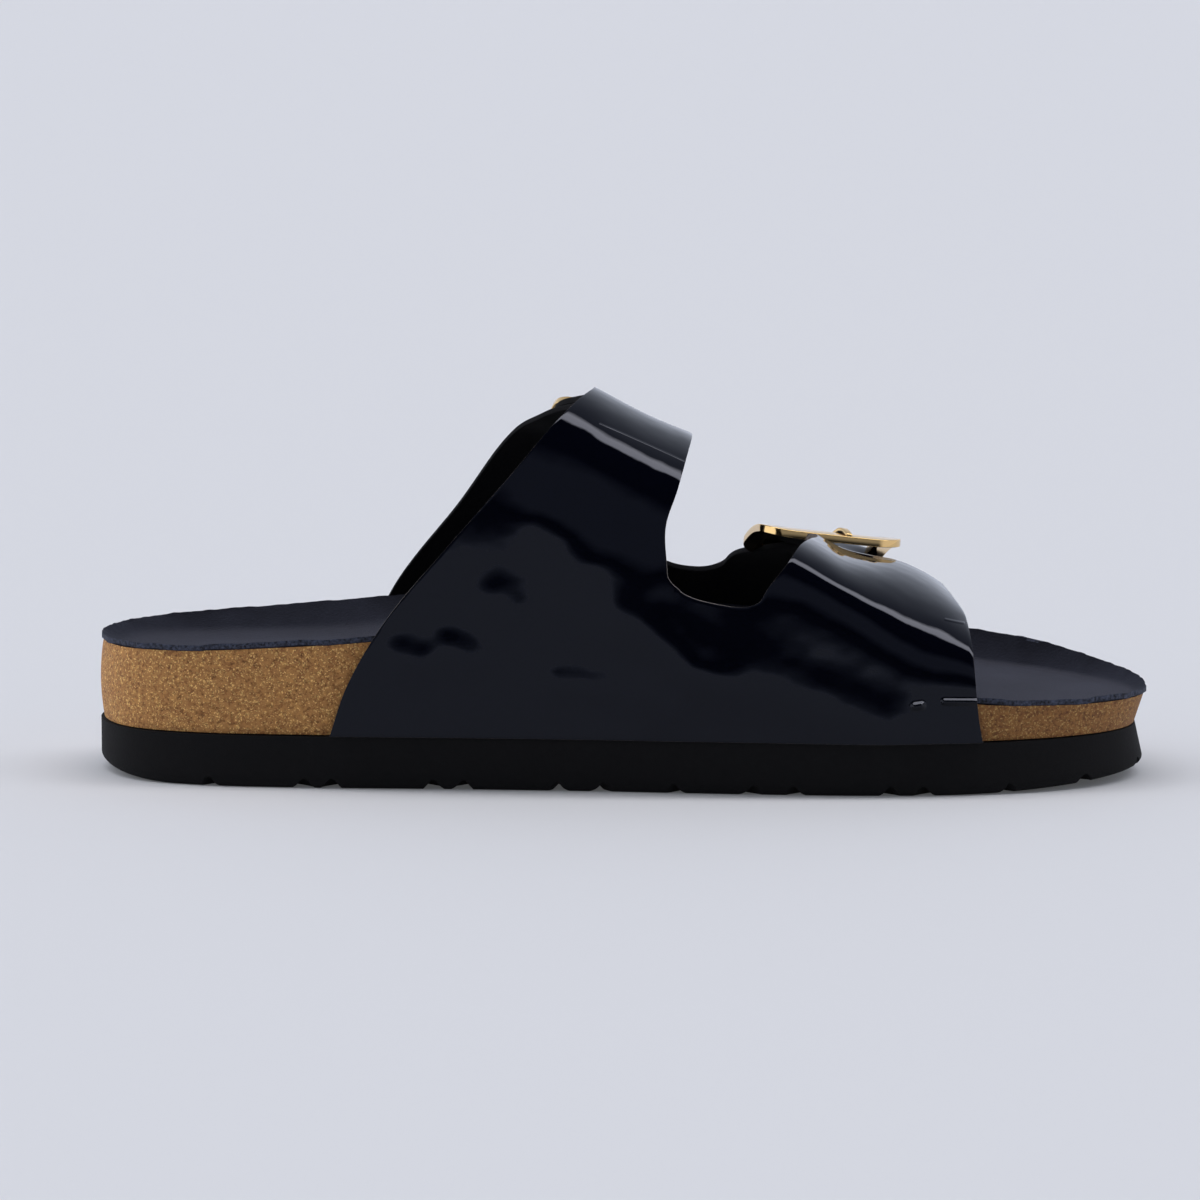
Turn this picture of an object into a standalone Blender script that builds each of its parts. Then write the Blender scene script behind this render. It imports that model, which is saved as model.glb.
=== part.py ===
"""Footbed sandal for the left foot.

The toe points along +X, the inner side of the foot along -Y, and the sole stands on Z = 0.
Tables and sizes are in millimetres; meshes are made in metres.
"""

import math
from collections import namedtuple

import bmesh
import bpy
import numpy as np
from mathutils import Vector

MM = 0.001

# Driving sizes
LENGTH = 249.6
HEEL_BACK = -125.2
CENTRE_Y = -2.85
GAP = 0.3
SOLE_TOP = 12.3
LINER_THICK = 1.2
LEATHER_THICK = 1.8
WALL_CLEAR = 1.1
RIDGE_Y = -4.0
STRAP_SKEWS = ((60.0, 30.0), (125.0, 30.0), (150.0, 44.0), (210.0, 44.0))
FOOT_AROUND = 0.32

# Plan of the footbed and its heights, in rows from the back of the heel to the tip of the toe.
# medial and lateral are half widths from the heel's middle line, seat is the height of the middle
# of the footbed, and cup is how far the rim's slope runs in from the edge.
Plan = namedtuple("Plan", "along medial lateral rim_medial rim_lateral seat cup")
PLAN = (
    Plan(0.0, 0.0, 0.0, 33.0, 33.0, 28.6, 17.0),
    Plan(9.0, 21.5, 21.5, 33.2, 33.2, 28.3, 17.0),
    Plan(25.0, 29.0, 29.5, 33.7, 33.7, 28.0, 18.0),
    Plan(50.0, 32.5, 33.5, 35.2, 35.2, 28.4, 19.0),
    Plan(84.0, 34.5, 37.5, 37.5, 36.8, 29.6, 24.0),
    Plan(119.0, 37.5, 42.0, 36.8, 35.8, 29.6, 24.0),
    Plan(154.0, 41.5, 46.0, 32.2, 32.8, 26.8, 15.0),
    Plan(184.0, 43.6, 47.4, 26.6, 29.8, 23.0, 10.0),
    Plan(208.0, 42.2, 44.0, 23.0, 27.6, 20.4, 9.0),
    Plan(228.0, 36.5, 33.5, 21.9, 25.4, 19.3, 8.5),
    Plan(241.0, 28.0, 18.0, 21.6, 23.2, 19.0, 8.0),
    Plan(LENGTH, 8.0, -8.0, 21.6, 21.6, 19.0, 8.0),
)

# How far the sides stand out from the plan: cork at its foot, middle and rim, sole at its top and foot.
Side = namedtuple("Side", "along cork_foot cork_middle cork_rim sole_top sole_foot")
SIDES = (
    Side(0.0, 0.0, 0.8, 0.0, 0.8, 0.8),
    Side(30.0, 0.0, 0.6, 0.0, 1.3, 1.7),
    Side(120.0, 0.0, 0.3, 0.0, 1.6, 2.2),
    Side(210.0, 0.0, 0.4, 0.3, 1.2, 2.2),
    Side(LENGTH, -0.8, 0.4, 1.6, -0.6, 1.2),
)

# The upper's sections: height of its ridge, and how square its medial wall, its medial crown and its
# lateral shoulder are (2 is an ellipse).
Section = namedtuple("Section", "along ridge medial_wall medial_crown lateral_square")
SECTIONS = (
    Section(50.0, 104.0, 3.2, 2.2, 2.0),
    Section(75.0, 101.0, 3.2, 2.2, 2.0),
    Section(100.0, 96.3, 3.2, 2.2, 1.9),
    Section(110.0, 94.0, 3.2, 2.2, 1.9),
    Section(118.0, 90.9, 3.2, 2.2, 1.9),
    Section(124.0, 87.7, 3.15, 2.2, 1.9),
    Section(130.0, 84.6, 3.1, 2.2, 1.9),
    Section(136.0, 81.9, 3.05, 2.2, 1.9),
    Section(142.0, 79.3, 3.0, 2.2, 1.9),
    Section(147.0, 75.2, 3.0, 2.4, 1.9),
    Section(152.0, 69.0, 3.0, 2.7, 1.95),
    Section(157.0, 63.6, 3.2, 3.4, 1.9),
    Section(161.0, 60.8, 3.4, 4.4, 1.85),
    Section(165.0, 58.6, 3.6, 5.0, 1.8),
    Section(171.0, 55.5, 3.7, 5.1, 1.8),
    Section(178.0, 51.8, 3.5, 4.8, 1.8),
    Section(185.0, 50.0, 2.95, 3.5, 1.8),
    Section(191.0, 48.9, 2.55, 2.6, 1.8),
    Section(198.0, 45.8, 2.42, 2.35, 1.85),
    Section(205.0, 41.0, 2.65, 2.8, 1.9),
    Section(217.0, 31.5, 3.0, 3.6, 2.0),
)

# The upper's cut edges. around is the place on the girth: 0 medial rim, 1 ridge, 2 lateral rim, and
# FOOT_AROUND beyond each rim the foot. The rear strap lies from rear to slot_back, the front strap
# from slot_front to front.
Cut = namedtuple("Cut", "around rear slot_back slot_front front")
CUTS = (
    Cut(-FOOT_AROUND, 56.2, 134.0, 157.0, 209.8),
    Cut(-0.16, 60.2, 135.0, 156.5, 208.9),
    Cut(0.0, 67.0, 136.0, 157.2, 208.3),
    Cut(0.25, 83.6, 136.0, 158.4, 207.0),
    Cut(0.4, 93.8, 135.5, 164.0, 206.3),
    Cut(0.55, 103.1, 138.2, 167.0, 205.7),
    Cut(0.75, 112.8, 140.4, 169.6, 203.8),
    Cut(1.0, 118.0, 141.3, 171.3, 201.5),
    Cut(1.2, 112.2, 140.0, 167.4, 198.6),
    Cut(1.45, 98.6, 134.6, 160.4, 193.0),
    Cut(1.72, 85.4, 130.2, 151.6, 188.0),
    Cut(2.0, 67.8, 131.0, 150.0, 185.6),
    Cut(2.16, 62.0, 132.0, 150.0, 185.2),
    Cut(2.0 + FOOT_AROUND, 59.0, 132.0, 150.0, 185.0),
)

# The slot between the straps: where its sides end on the girth, and how far its round bottoms dip below that.
SLOT_MEDIAL_END = 0.25
SLOT_LATERAL_END = 1.75
SLOT_MEDIAL_DIP = 0.07
SLOT_LATERAL_DIP = 0.12
SLOT_FADE = 0.4

# Footbed relief: a pad behind the ball and a bar under the toes.
PAD_PLACE = (146.0, 3.0)
PAD_SPREAD = (15.0, 15.0)
PAD_HEIGHT = 3.2
TOE_BAR_ALONG = 205.0
TOE_BAR_SPREAD = 6.0
TOE_BAR_HEIGHT = 1.8
MIDDLE_INSET = 30.0

# Sole: toe spring, heel roll and cross grooves.
TOE_SPRING = 2.8
TOE_SPRING_FROM = 72.0
HEEL_ROLL = 2.4
HEEL_ROLL_FROM = -106.0
SOLE_EDGE_ROUND = 1.4
GROOVE_FIRST = 30.0
GROOVE_PITCH = 15.45
GROOVE_COUNT = 15
GROOVE_DEPTH = 2.4
GROOVE_WIDTH = 4.2
GROOVE_NARROWS = 1.6
GROOVE_QUARTERS = 8
CUTTER_FLARE = 1.0
CUTTER_BELOW = 4.0
WAVE_HEIGHT = 3.4
WAVE_LENGTH = 32.0
WAVE_PHASE = 5.0

# Buckles: hinge bar's place on the strap, the ring's slant and pitch in degrees, the height of its
# medial bar above the strap's lining face, and its sizes.
Buckle = namedtuple("Buckle", "name along arc slant reach pitch bar_height")
BUCKLES = (
    Buckle("buckle_front", 171.2, 31.5, 10.0, 26.0, -4.5, 4.5),
    Buckle("buckle_rear", 119.2, 47.0, 12.0, 26.0, -24.0, 3.9),
)
RING_WIDE = 36.0
RING_BAR_WIDE = 4.5
RING_BAR_THICK = 2.4
RING_CHAMFER = 0.7
RING_CORNER = 6.0
RING_BOW = 2.0
HINGE_CORNER = 3.5
HINGE_THICK = 3.0
HINGE_CHAMFER = 0.88
HINGE_HEIGHT = 3.75
BUCKLE_CLEAR = 0.35
PRONG_WIDE = 3.0
PRONG_TIP_WIDE = 2.0
PRONG_THICK = 1.8
PRONG_ROOT = 2.5
PRONG_RISE = ((7.0, 0.4), (12.0, 0.5), (18.0, 1.2))
PRONG_LEVEL = 3.2
PRONG_SLANT = 2.9
PRONG_OVERHANG = 2.6
PRONG_TIP_DROP = 0.5

# Strap end over the hinge bar: distance past the bar, height of its top above the lining face, half width,
# and how far it leans with the bar.
StrapEnd = namedtuple("StrapEnd", "past top half_width lean")
STRAP_ENDS = (
    StrapEnd(-12.5, 1.2, 13.0, 0.0),
    StrapEnd(-9.0, 3.4, 13.0, 0.4),
    StrapEnd(-5.5, 6.2, 13.0, 0.9),
    StrapEnd(-2.5, 7.4, 13.0, 1.0),
    StrapEnd(2.5, 7.4, 13.0, 1.0),
    StrapEnd(5.5, 6.2, 13.0, 0.9),
    StrapEnd(9.0, 4.2, 13.0, 0.4),
    StrapEnd(13.0, 3.6, 13.0, 0.0),
    StrapEnd(22.0, 3.6, 13.0, 0.0),
    StrapEnd(25.0, 3.5, 11.5, 0.0),
    StrapEnd(26.5, 3.4, 8.5, 0.0),
)
STRAP_END_FOOT = 0.8
STRAP_END_LOW = 3.6

# Mesh fineness
TURNS = 64
REACHES = (1.0, 0.9, 0.78, 0.62, 0.42, 0.2, 0.0)
REAR_CELLS = 7
SLOT_CELLS = 6
FRONT_CELLS = 7
WALL_CELLS = 3
SHOULDER_CELLS = 16
SECTION_SAMPLES = 48
ACROSS_POINTS = 5
CORNER_STEPS = 4
BAR_SHARES = (0.25, 0.5, 0.75)
SHARP_ANGLE = 40.0
TURN_STEP = 1e-4
ARC_STEP = 0.5


def through(knots, values):
    """Smooth curve through the given values: cubic pieces with three-point slopes."""
    knots = np.asarray(knots, float)
    values = np.asarray(values, float)
    slopes = np.gradient(values, knots)

    def curve(at):
        at = min(max(at, knots[0]), knots[-1])
        i = int(min(max(np.searchsorted(knots, at) - 1, 0), len(knots) - 2))
        span = knots[i + 1] - knots[i]
        t = (at - knots[i]) / span
        start = (1 + 2 * t) * (1 - t) ** 2 * values[i] + t * (1 - t) ** 2 * span * slopes[i]
        end = t * t * (3 - 2 * t) * values[i + 1] + t * t * (t - 1) * span * slopes[i + 1]
        return float(start + end)

    return curve


def column(table, key, name):
    """Smooth curve of one table column against another."""
    return through([getattr(row, key) for row in table], [getattr(row, name) for row in table])


def turn_at(along):
    """Angle round the plan of a place on the medial side: 0 at the heel, pi at the toe."""
    return math.acos(min(max(1 - 2 * along / LENGTH, -1.0), 1.0))


def around_plan(medial, lateral):
    """Closed curve round the plan, from the heel along the medial side and back along the lateral side."""
    turns = [turn_at(row.along) for row in PLAN]
    knots = turns + [2 * math.pi - turn for turn in reversed(turns[1:-1])]
    values = list(medial) + list(reversed(lateral[1:-1]))
    lead = [knots[-2] - 2 * math.pi, knots[-1] - 2 * math.pi]
    tail = [knots[0] + 2 * math.pi, knots[1] + 2 * math.pi]
    return through(lead + knots + tail, values[-2:] + values + values[:2])


SIDE_Y = around_plan([-row.medial for row in PLAN], [row.lateral for row in PLAN])
RIM = around_plan([row.rim_medial for row in PLAN], [row.rim_lateral for row in PLAN])
SEAT = column(PLAN, "along", "seat")
CUP = column(PLAN, "along", "cup")
SKEW = through([row[0] for row in STRAP_SKEWS], [row[1] for row in STRAP_SKEWS])
RIDGE = column(SECTIONS, "along", "ridge")
SQUARE = {name: column(SECTIONS, "along", name) for name in Section._fields[2:]}
STAND_OUT = {name: column(SIDES, "along", name) for name in Side._fields[1:]}
EDGE = {name: column(CUTS, "around", name) for name in Cut._fields[1:]}


def along_of(turn):
    """Distance from the back of the heel of a point on the plan."""
    return LENGTH / 2 * (1 - math.cos(turn))


def plan_point(turn, stand_out=0.0):
    """Point of the plan's outline, moved out along its normal."""
    run = LENGTH / 2 * math.sin(turn)
    ahead = SIDE_Y((turn + TURN_STEP) % (2 * math.pi))
    behind = SIDE_Y((turn - TURN_STEP) % (2 * math.pi))
    rise = (ahead - behind) / (2 * TURN_STEP)
    size = math.hypot(run, rise)
    x = HEEL_BACK + along_of(turn) + stand_out * rise / size
    y = CENTRE_Y + SIDE_Y(turn) - stand_out * run / size
    return x, y


def middle_point(turn):
    """Point of the footbed's middle line that a point of the outline looks to."""
    x = HEEL_BACK + LENGTH / 2 - (LENGTH / 2 - MIDDLE_INSET) * math.cos(turn)
    side = turn_at(x - HEEL_BACK)
    return x, CENTRE_Y + (SIDE_Y(side) + SIDE_Y(2 * math.pi - side)) / 2


def ring_places(stand_out, reach):
    """Turn, x, y and depth in from the edge of a ring; reach 0 folds it onto the middle line."""
    places = []
    for i in range(TURNS):
        turn = 2 * math.pi * i / TURNS
        rim = plan_point(turn, stand_out(along_of(turn)))
        middle = middle_point(turn)
        x = middle[0] + reach * (rim[0] - middle[0])
        y = middle[1] + reach * (rim[1] - middle[1])
        inward = (1 - reach) * math.hypot(rim[0] - middle[0], rim[1] - middle[1])
        places.append((turn, x, y, inward))
    return places


def plan_ring(stand_out, height, reach=1.0):
    """Ring of points round the plan at the given height."""
    return [(x, y, height(x, turn)) for turn, x, y, _ in ring_places(stand_out, reach)]


def relief(along, y):
    """Pad and toe bar, above the plain footbed."""
    pad = ((along - PAD_PLACE[0]) / PAD_SPREAD[0]) ** 2 + ((y - PAD_PLACE[1]) / PAD_SPREAD[1]) ** 2
    bar = ((along - TOE_BAR_ALONG) / TOE_BAR_SPREAD) ** 2
    return PAD_HEIGHT * math.exp(-pad) + TOE_BAR_HEIGHT * math.exp(-bar)


def bed_ring(reach, drop):
    """Ring of points on the footbed's top, lowered by drop."""
    ring = []
    for turn, x, y, inward in ring_places(STAND_OUT["cork_rim"], reach):
        along = along_of(turn)
        slope = max(1 - inward / CUP(along), 0.0) ** 2
        seat = SEAT(x - HEEL_BACK) + relief(x - HEEL_BACK, y) * (1 - slope)
        ring.append((x, y, seat + (RIM(turn) - SEAT(along)) * slope - drop))
    return ring


def sole_foot(x):
    """Height of the sole's underside: flat, rolled at the heel and sprung at the toe."""
    spring = max(x - TOE_SPRING_FROM, 0.0) / (LENGTH + HEEL_BACK - TOE_SPRING_FROM)
    roll = max(HEEL_ROLL_FROM - x, 0.0) / (HEEL_ROLL_FROM - HEEL_BACK)
    return TOE_SPRING * spring ** 2 + HEEL_ROLL * roll ** 2


def wall_y(along, lateral):
    """Lining face of the upper beside the cork."""
    turn = turn_at(along)
    if lateral:
        return CENTRE_Y + SIDE_Y(2 * math.pi - turn) + WALL_CLEAR
    return CENTRE_Y + SIDE_Y(turn) - WALL_CLEAR


def girth(along):
    """Section of the upper's lining face: around, arc from the ridge, y and z at each sample."""
    ridge_y = CENTRE_Y + RIDGE_Y
    turn = turn_at(along)
    rims = (RIM(turn), RIM(2 * math.pi - turn))
    foot = SOLE_TOP + GAP
    medial = wall_y(along, False)
    lateral = wall_y(along, True)
    points = [(medial, foot)]
    for i in range(2 * SECTION_SAMPLES + 1):
        angle = math.pi / 2 * i / SECTION_SAMPLES
        side = 0 if i <= SECTION_SAMPLES else 1
        wall, crown = ("medial_wall", "medial_crown") if side == 0 else ("lateral_square", "lateral_square")
        out = math.copysign(abs(math.cos(angle)) ** (2 / SQUARE[crown](along)), math.cos(angle))
        up = max(math.sin(angle), 0.0) ** (2 / SQUARE[wall](along))
        width = ridge_y - medial if side == 0 else lateral - ridge_y
        skewed = along + SKEW(along) * max(i / SECTION_SAMPLES - 1, 0.0)
        points.append((ridge_y - width * out, rims[side] + (RIDGE(skewed) - rims[side]) * up))
    points.append((lateral, foot))
    points = np.array(points)
    steps = np.hypot(*np.diff(points, axis=0).T)
    arc = np.concatenate(([0.0], np.cumsum(steps)))
    corners = [0, 1, 1 + SECTION_SAMPLES, 1 + 2 * SECTION_SAMPLES, 2 + 2 * SECTION_SAMPLES]
    around = np.interp(arc, arc[corners], [-FOOT_AROUND, 0.0, 1.0, 2.0, 2.0 + FOOT_AROUND])
    return around, arc - arc[1 + SECTION_SAMPLES], points[:, 0], points[:, 1]


def upper_point(along, around):
    """Point of the upper's lining face."""
    place, _, y, z = girth(along)
    return HEEL_BACK + along, float(np.interp(around, place, y)), float(np.interp(around, place, z))


def strap_point(buckle, across, past, height):
    """Point above a strap: across it towards the toe, past its hinge bar, and up from the lining face."""
    slant = math.radians(buckle.slant)
    along = buckle.along + across * math.cos(slant) - past * math.sin(slant)
    arc = buckle.arc + past * math.cos(slant) + across * math.sin(slant)
    _, arcs, y, z = girth(along)
    here = np.array([np.interp(arc, arcs, y), np.interp(arc, arcs, z)])
    ahead = np.array([np.interp(arc + ARC_STEP, arcs, y), np.interp(arc + ARC_STEP, arcs, z)])
    behind = np.array([np.interp(arc - ARC_STEP, arcs, y), np.interp(arc - ARC_STEP, arcs, z)])
    run = (ahead - behind) / np.linalg.norm(ahead - behind)
    return Vector((HEEL_BACK + along, here[0] - height * run[1], here[1] + height * run[0]))


def mesh_object(name, bm, home):
    """Object from a finished bmesh, smooth but for its sharp edges."""
    bmesh.ops.remove_doubles(bm, verts=bm.verts, dist=1e-6)
    bmesh.ops.recalc_face_normals(bm, faces=bm.faces)
    mesh = bpy.data.meshes.new(name)
    bm.to_mesh(mesh)
    bm.free()
    mesh.shade_smooth()
    mesh.set_sharp_from_angle(angle=math.radians(SHARP_ANGLE))
    thing = bpy.data.objects.new(name, mesh)
    home.objects.link(thing)
    return thing


def ring_loft(name, rings, home, ends="folded"):
    """Solid lofted through rings; its ends are folded shut, capped, or joined to each other."""
    bm = bmesh.new()
    loops = [[bm.verts.new(Vector(point) * MM) for point in ring] for ring in rings]
    pairs = list(zip(loops, loops[1:]))
    if ends == "joined":
        pairs.append((loops[-1], loops[0]))
    for low, high in pairs:
        for i in range(len(low)):
            j = (i + 1) % len(low)
            bm.faces.new((low[i], low[j], high[j], high[i]))
    if ends == "capped":
        bm.faces.new(loops[0])
        bm.faces.new(list(reversed(loops[-1])))
    return mesh_object(name, bm, home)


def material(name, colour, roughness, metallic=0.0):
    """Plain shader in the piece's own colour."""
    made = bpy.data.materials.new(name)
    made.use_nodes = True
    shader = made.node_tree.nodes["Principled BSDF"]
    shader.inputs["Base Color"].default_value = (*colour, 1.0)
    shader.inputs["Roughness"].default_value = roughness
    shader.inputs["Metallic"].default_value = metallic
    return made


def collection(name):
    """New collection in the scene."""
    made = bpy.data.collections.new(name)
    bpy.context.scene.collection.children.link(made)
    return made


def boolean(thing, other, operation, solver="EXACT"):
    """Join or cut a piece with a tool object."""
    step = thing.modifiers.new(other.name, "BOOLEAN")
    step.operation = operation
    step.object = other
    step.solver = solver
    other.hide_render = True
    other.display_type = "WIRE"


def groove_cutter(number, home):
    """Wavy bar that cuts one groove across the sole; neighbours wave opposite ways."""
    middle = HEEL_BACK + GROOVE_FIRST + number * GROOVE_PITCH
    swing = WAVE_HEIGHT if number % 2 == 0 else -WAVE_HEIGHT
    floor = sole_foot(middle)
    half = GROOVE_WIDTH / 2
    top = half - GROOVE_NARROWS / 2
    rings = []
    quarter = WAVE_LENGTH / 4
    for i in range(-GROOVE_QUARTERS, GROOVE_QUARTERS + 1):
        y = i * quarter
        x = middle + swing * math.sin(2 * math.pi * (y + WAVE_PHASE) / WAVE_LENGTH)
        wide = half + CUTTER_FLARE
        below = floor - CUTTER_BELOW
        above = floor + GROOVE_DEPTH
        rings.append(((x - wide, y, below), (x + wide, y, below), (x + top, y, above), (x - top, y, above)))
    return ring_loft(f"groove_{number:02d}", rings, home, "capped")


def make_outsole(home, cutters):
    """Foam rubber sole with a rounded foot edge and wavy cross grooves."""
    def flat(x, turn):
        return SOLE_TOP

    def lifted(height):
        return lambda x, turn: sole_foot(x) + height

    def tucked(along):
        return STAND_OUT["sole_foot"](along) - SOLE_EDGE_ROUND

    rings = [
        plan_ring(STAND_OUT["sole_top"], flat, 0.0),
        plan_ring(STAND_OUT["sole_top"], flat),
        plan_ring(STAND_OUT["sole_foot"], lifted(SOLE_EDGE_ROUND)),
        plan_ring(tucked, lifted(0.0)),
        plan_ring(tucked, lifted(0.0), 0.5),
        plan_ring(tucked, lifted(0.0), 0.0),
    ]
    sole = ring_loft("outsole", rings, home)
    for number in range(GROOVE_COUNT):
        boolean(sole, groove_cutter(number, cutters), "DIFFERENCE")
    return sole


def make_cork(home):
    """Cork block with a slightly barrelled side and the footbed's shape on top."""
    drop = LINER_THICK + GAP

    def foot(x, turn):
        return SOLE_TOP + GAP

    def level(share):
        return lambda x, turn: SOLE_TOP + GAP + share * (RIM(turn) - drop - SOLE_TOP - GAP)

    rings = [
        plan_ring(STAND_OUT["cork_foot"], foot, 0.0),
        plan_ring(STAND_OUT["cork_foot"], foot),
        plan_ring(STAND_OUT["cork_middle"], level(0.5)),
    ]
    rings += [bed_ring(reach, drop) for reach in REACHES]
    return ring_loft("footbed_cork", rings, home)


def make_liner(home):
    """Suede sheet that covers the footbed to the rim's edge."""
    rings = [bed_ring(reach, 0.0) for reach in reversed(REACHES)]
    rings += [bed_ring(reach, LINER_THICK) for reach in REACHES]
    return ring_loft("footbed_liner", rings, home)


def cut_rows():
    """Places round the girth of the upper's mesh rows."""
    walls = [FOOT_AROUND * i / WALL_CELLS for i in range(WALL_CELLS)]
    shoulder = [i / SHOULDER_CELLS for i in range(SHOULDER_CELLS)]
    medial = [w - FOOT_AROUND for w in walls] + shoulder
    return medial + [1 + s for s in shoulder] + [2 + w for w in walls] + [2 + FOOT_AROUND]


def slot_dip(around, share):
    """Drop of a mesh row towards the round bottom of the slot, share of the way across it."""
    bow = math.sqrt(max(1 - (2 * share - 1) ** 2, 0.0))
    if around <= 1:
        near = min(max(around / SLOT_MEDIAL_END, 0.0), 1.0)
        fade = near if around <= SLOT_MEDIAL_END else max(1 - (around - SLOT_MEDIAL_END) / SLOT_FADE, 0.0)
        return -SLOT_MEDIAL_DIP * bow * fade
    near = min(max((2 - around) / (2 - SLOT_LATERAL_END), 0.0), 1.0)
    fade = near if around >= SLOT_LATERAL_END else max(1 - (SLOT_LATERAL_END - around) / SLOT_FADE, 0.0)
    return SLOT_LATERAL_DIP * bow * fade


def upper_row(around):
    """Mesh row of the upper from its rear edge to its front edge."""
    rear, back, front, toe = (EDGE[name](around) for name in Cut._fields[1:])
    row = []
    for i in range(REAR_CELLS):
        row.append(upper_point(rear + (back - rear) * i / REAR_CELLS, around))
    for i in range(SLOT_CELLS):
        share = (1 - math.cos(math.pi * i / SLOT_CELLS)) / 2
        row.append(upper_point(back + (front - back) * share, around + slot_dip(around, share)))
    for i in range(FRONT_CELLS + 1):
        row.append(upper_point(front + (toe - front) * i / FRONT_CELLS, around))
    return row


def make_strap_wall(home):
    """The upper's leather: one sheet over the foot with a slot between its straps, given its thickness."""
    arounds = cut_rows()
    ends = [min(arounds, key=lambda a: abs(a - end)) for end in (SLOT_MEDIAL_END, SLOT_LATERAL_END)]
    bm = bmesh.new()
    rows = [[bm.verts.new(Vector(point) * MM) for point in upper_row(around)] for around in arounds]
    for low, high, around in zip(rows, rows[1:], arounds):
        for i in range(len(low) - 1):
            in_slot = REAR_CELLS <= i < REAR_CELLS + SLOT_CELLS
            if in_slot and ends[0] <= around < ends[1]:
                continue
            bm.faces.new((low[i], low[i + 1], high[i + 1], high[i]))
    loose = [vert for vert in bm.verts if not vert.link_faces]
    bmesh.ops.delete(bm, geom=loose, context="VERTS")
    wall = mesh_object("upper", bm, home)
    if wall.data.polygons[0].normal.y > 0:
        wall.data.flip_normals()
    thick = wall.modifiers.new("leather", "SOLIDIFY")
    thick.thickness = LEATHER_THICK * MM
    thick.offset = 1.0
    thick.use_even_offset = True
    return wall


def bar_lean(buckle, across):
    """How much higher the hinge bar stands above the lining face here than at its middle."""
    frame = BuckleFrame(buckle)
    foot = strap_point(buckle, across, 0.0, 0.0)
    up = strap_point(buckle, across, 0.0, 1.0) - foot
    return (frame.hinge + frame.across * across - foot).dot(up) - HINGE_HEIGHT


def strap_end(buckle, home):
    """The strap's end, which climbs over the hinge bar and lies on the outer side."""
    rings = []
    for row in STRAP_ENDS:
        spread = [row.half_width * (2 * i / (ACROSS_POINTS - 1) - 1) for i in range(ACROSS_POINTS)]
        under = [strap_point(buckle, across, row.past, STRAP_END_FOOT) for across in spread]
        over = []
        for across in reversed(spread):
            low = min(row.top, STRAP_END_LOW)
            top = max(row.top + row.lean * bar_lean(buckle, across), low)
            over.append(strap_point(buckle, across, row.past, top))
        rings.append(under + over)
    return ring_loft(buckle.name + "_strap_end", rings, home, "capped")


class BuckleFrame:
    """Axes of one buckle: across the strap, from the hinge bar to the medial bar, and up."""

    def __init__(self, buckle):
        self.hinge = strap_point(buckle, 0.0, 0.0, HINGE_HEIGHT)
        bar = strap_point(buckle, 0.0, -buckle.reach, buckle.bar_height)
        self.length = (bar - self.hinge).length
        self.inward = (bar - self.hinge).normalized()
        pitch = math.radians(buckle.pitch)
        level = Vector((math.cos(pitch), 0.0, math.sin(pitch)))
        self.across = (level - self.inward * level.dot(self.inward)).normalized()
        self.up = self.inward.cross(self.across)

    def point(self, across, inward, up):
        """Place in the buckle's own sizes, on its bowed ring."""
        share = inward / self.length
        bow = RING_BOW * 4 * share * (1 - share)
        return self.hinge + self.across * across + self.inward * inward + self.up * (up + bow)


def ring_path(frame):
    """Middle line of the buckle's ring: place, outward direction and whether it is the hinge bar."""
    half = (RING_WIDE - RING_BAR_WIDE) / 2
    inner = frame.length - RING_CORNER
    corners = (
        (half - RING_CORNER, inner, RING_CORNER, 0),
        (-half + RING_CORNER, inner, RING_CORNER, 90),
        (-half + HINGE_CORNER, HINGE_CORNER, HINGE_CORNER, 180),
        (half - HINGE_CORNER, HINGE_CORNER, HINGE_CORNER, 270),
    )
    side_bars = {90: (-1, inner, HINGE_CORNER), 270: (1, HINGE_CORNER, inner)}
    hinge_ends = ((180, CORNER_STEPS), (270, 0))
    path = []
    for x, y, radius, start in corners:
        for step in range(CORNER_STEPS + 1):
            angle = math.radians(start + 90 * step / CORNER_STEPS)
            out = (math.cos(angle), math.sin(angle))
            path.append(((x + radius * out[0], y + radius * out[1]), out, (start, step) in hinge_ends))
        if start in side_bars:
            side, begin, end = side_bars[start]
            for share in BAR_SHARES:
                path.append(((side * half, begin + (end - begin) * share), (side, 0.0), False))
    return path


def bar_section(wide, thick, chamfer):
    """Bar section with broken corners: outward and up offsets."""
    w = wide / 2
    t = thick / 2
    return ((w, -t + chamfer), (w, t - chamfer), (w - chamfer, t), (-w + chamfer, t),
            (-w, t - chamfer), (-w, -t + chamfer), (-w + chamfer, -t), (w - chamfer, -t))


def buckle_ring(name, frame, home, grow=0.0):
    """The buckle's ring, with its lateral side drawn thin as a hinge bar."""
    rings = []
    for place, out, hinge in ring_path(frame):
        if hinge:
            section = bar_section(HINGE_THICK + 2 * grow, HINGE_THICK + 2 * grow, HINGE_CHAMFER)
        else:
            section = bar_section(RING_BAR_WIDE + 2 * grow, RING_BAR_THICK + 2 * grow, RING_CHAMFER)
        rings.append([frame.point(place[0] + out[0] * w, place[1] + out[1] * w, t) for w, t in section])
    return ring_loft(name, rings, home, "joined")


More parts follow.
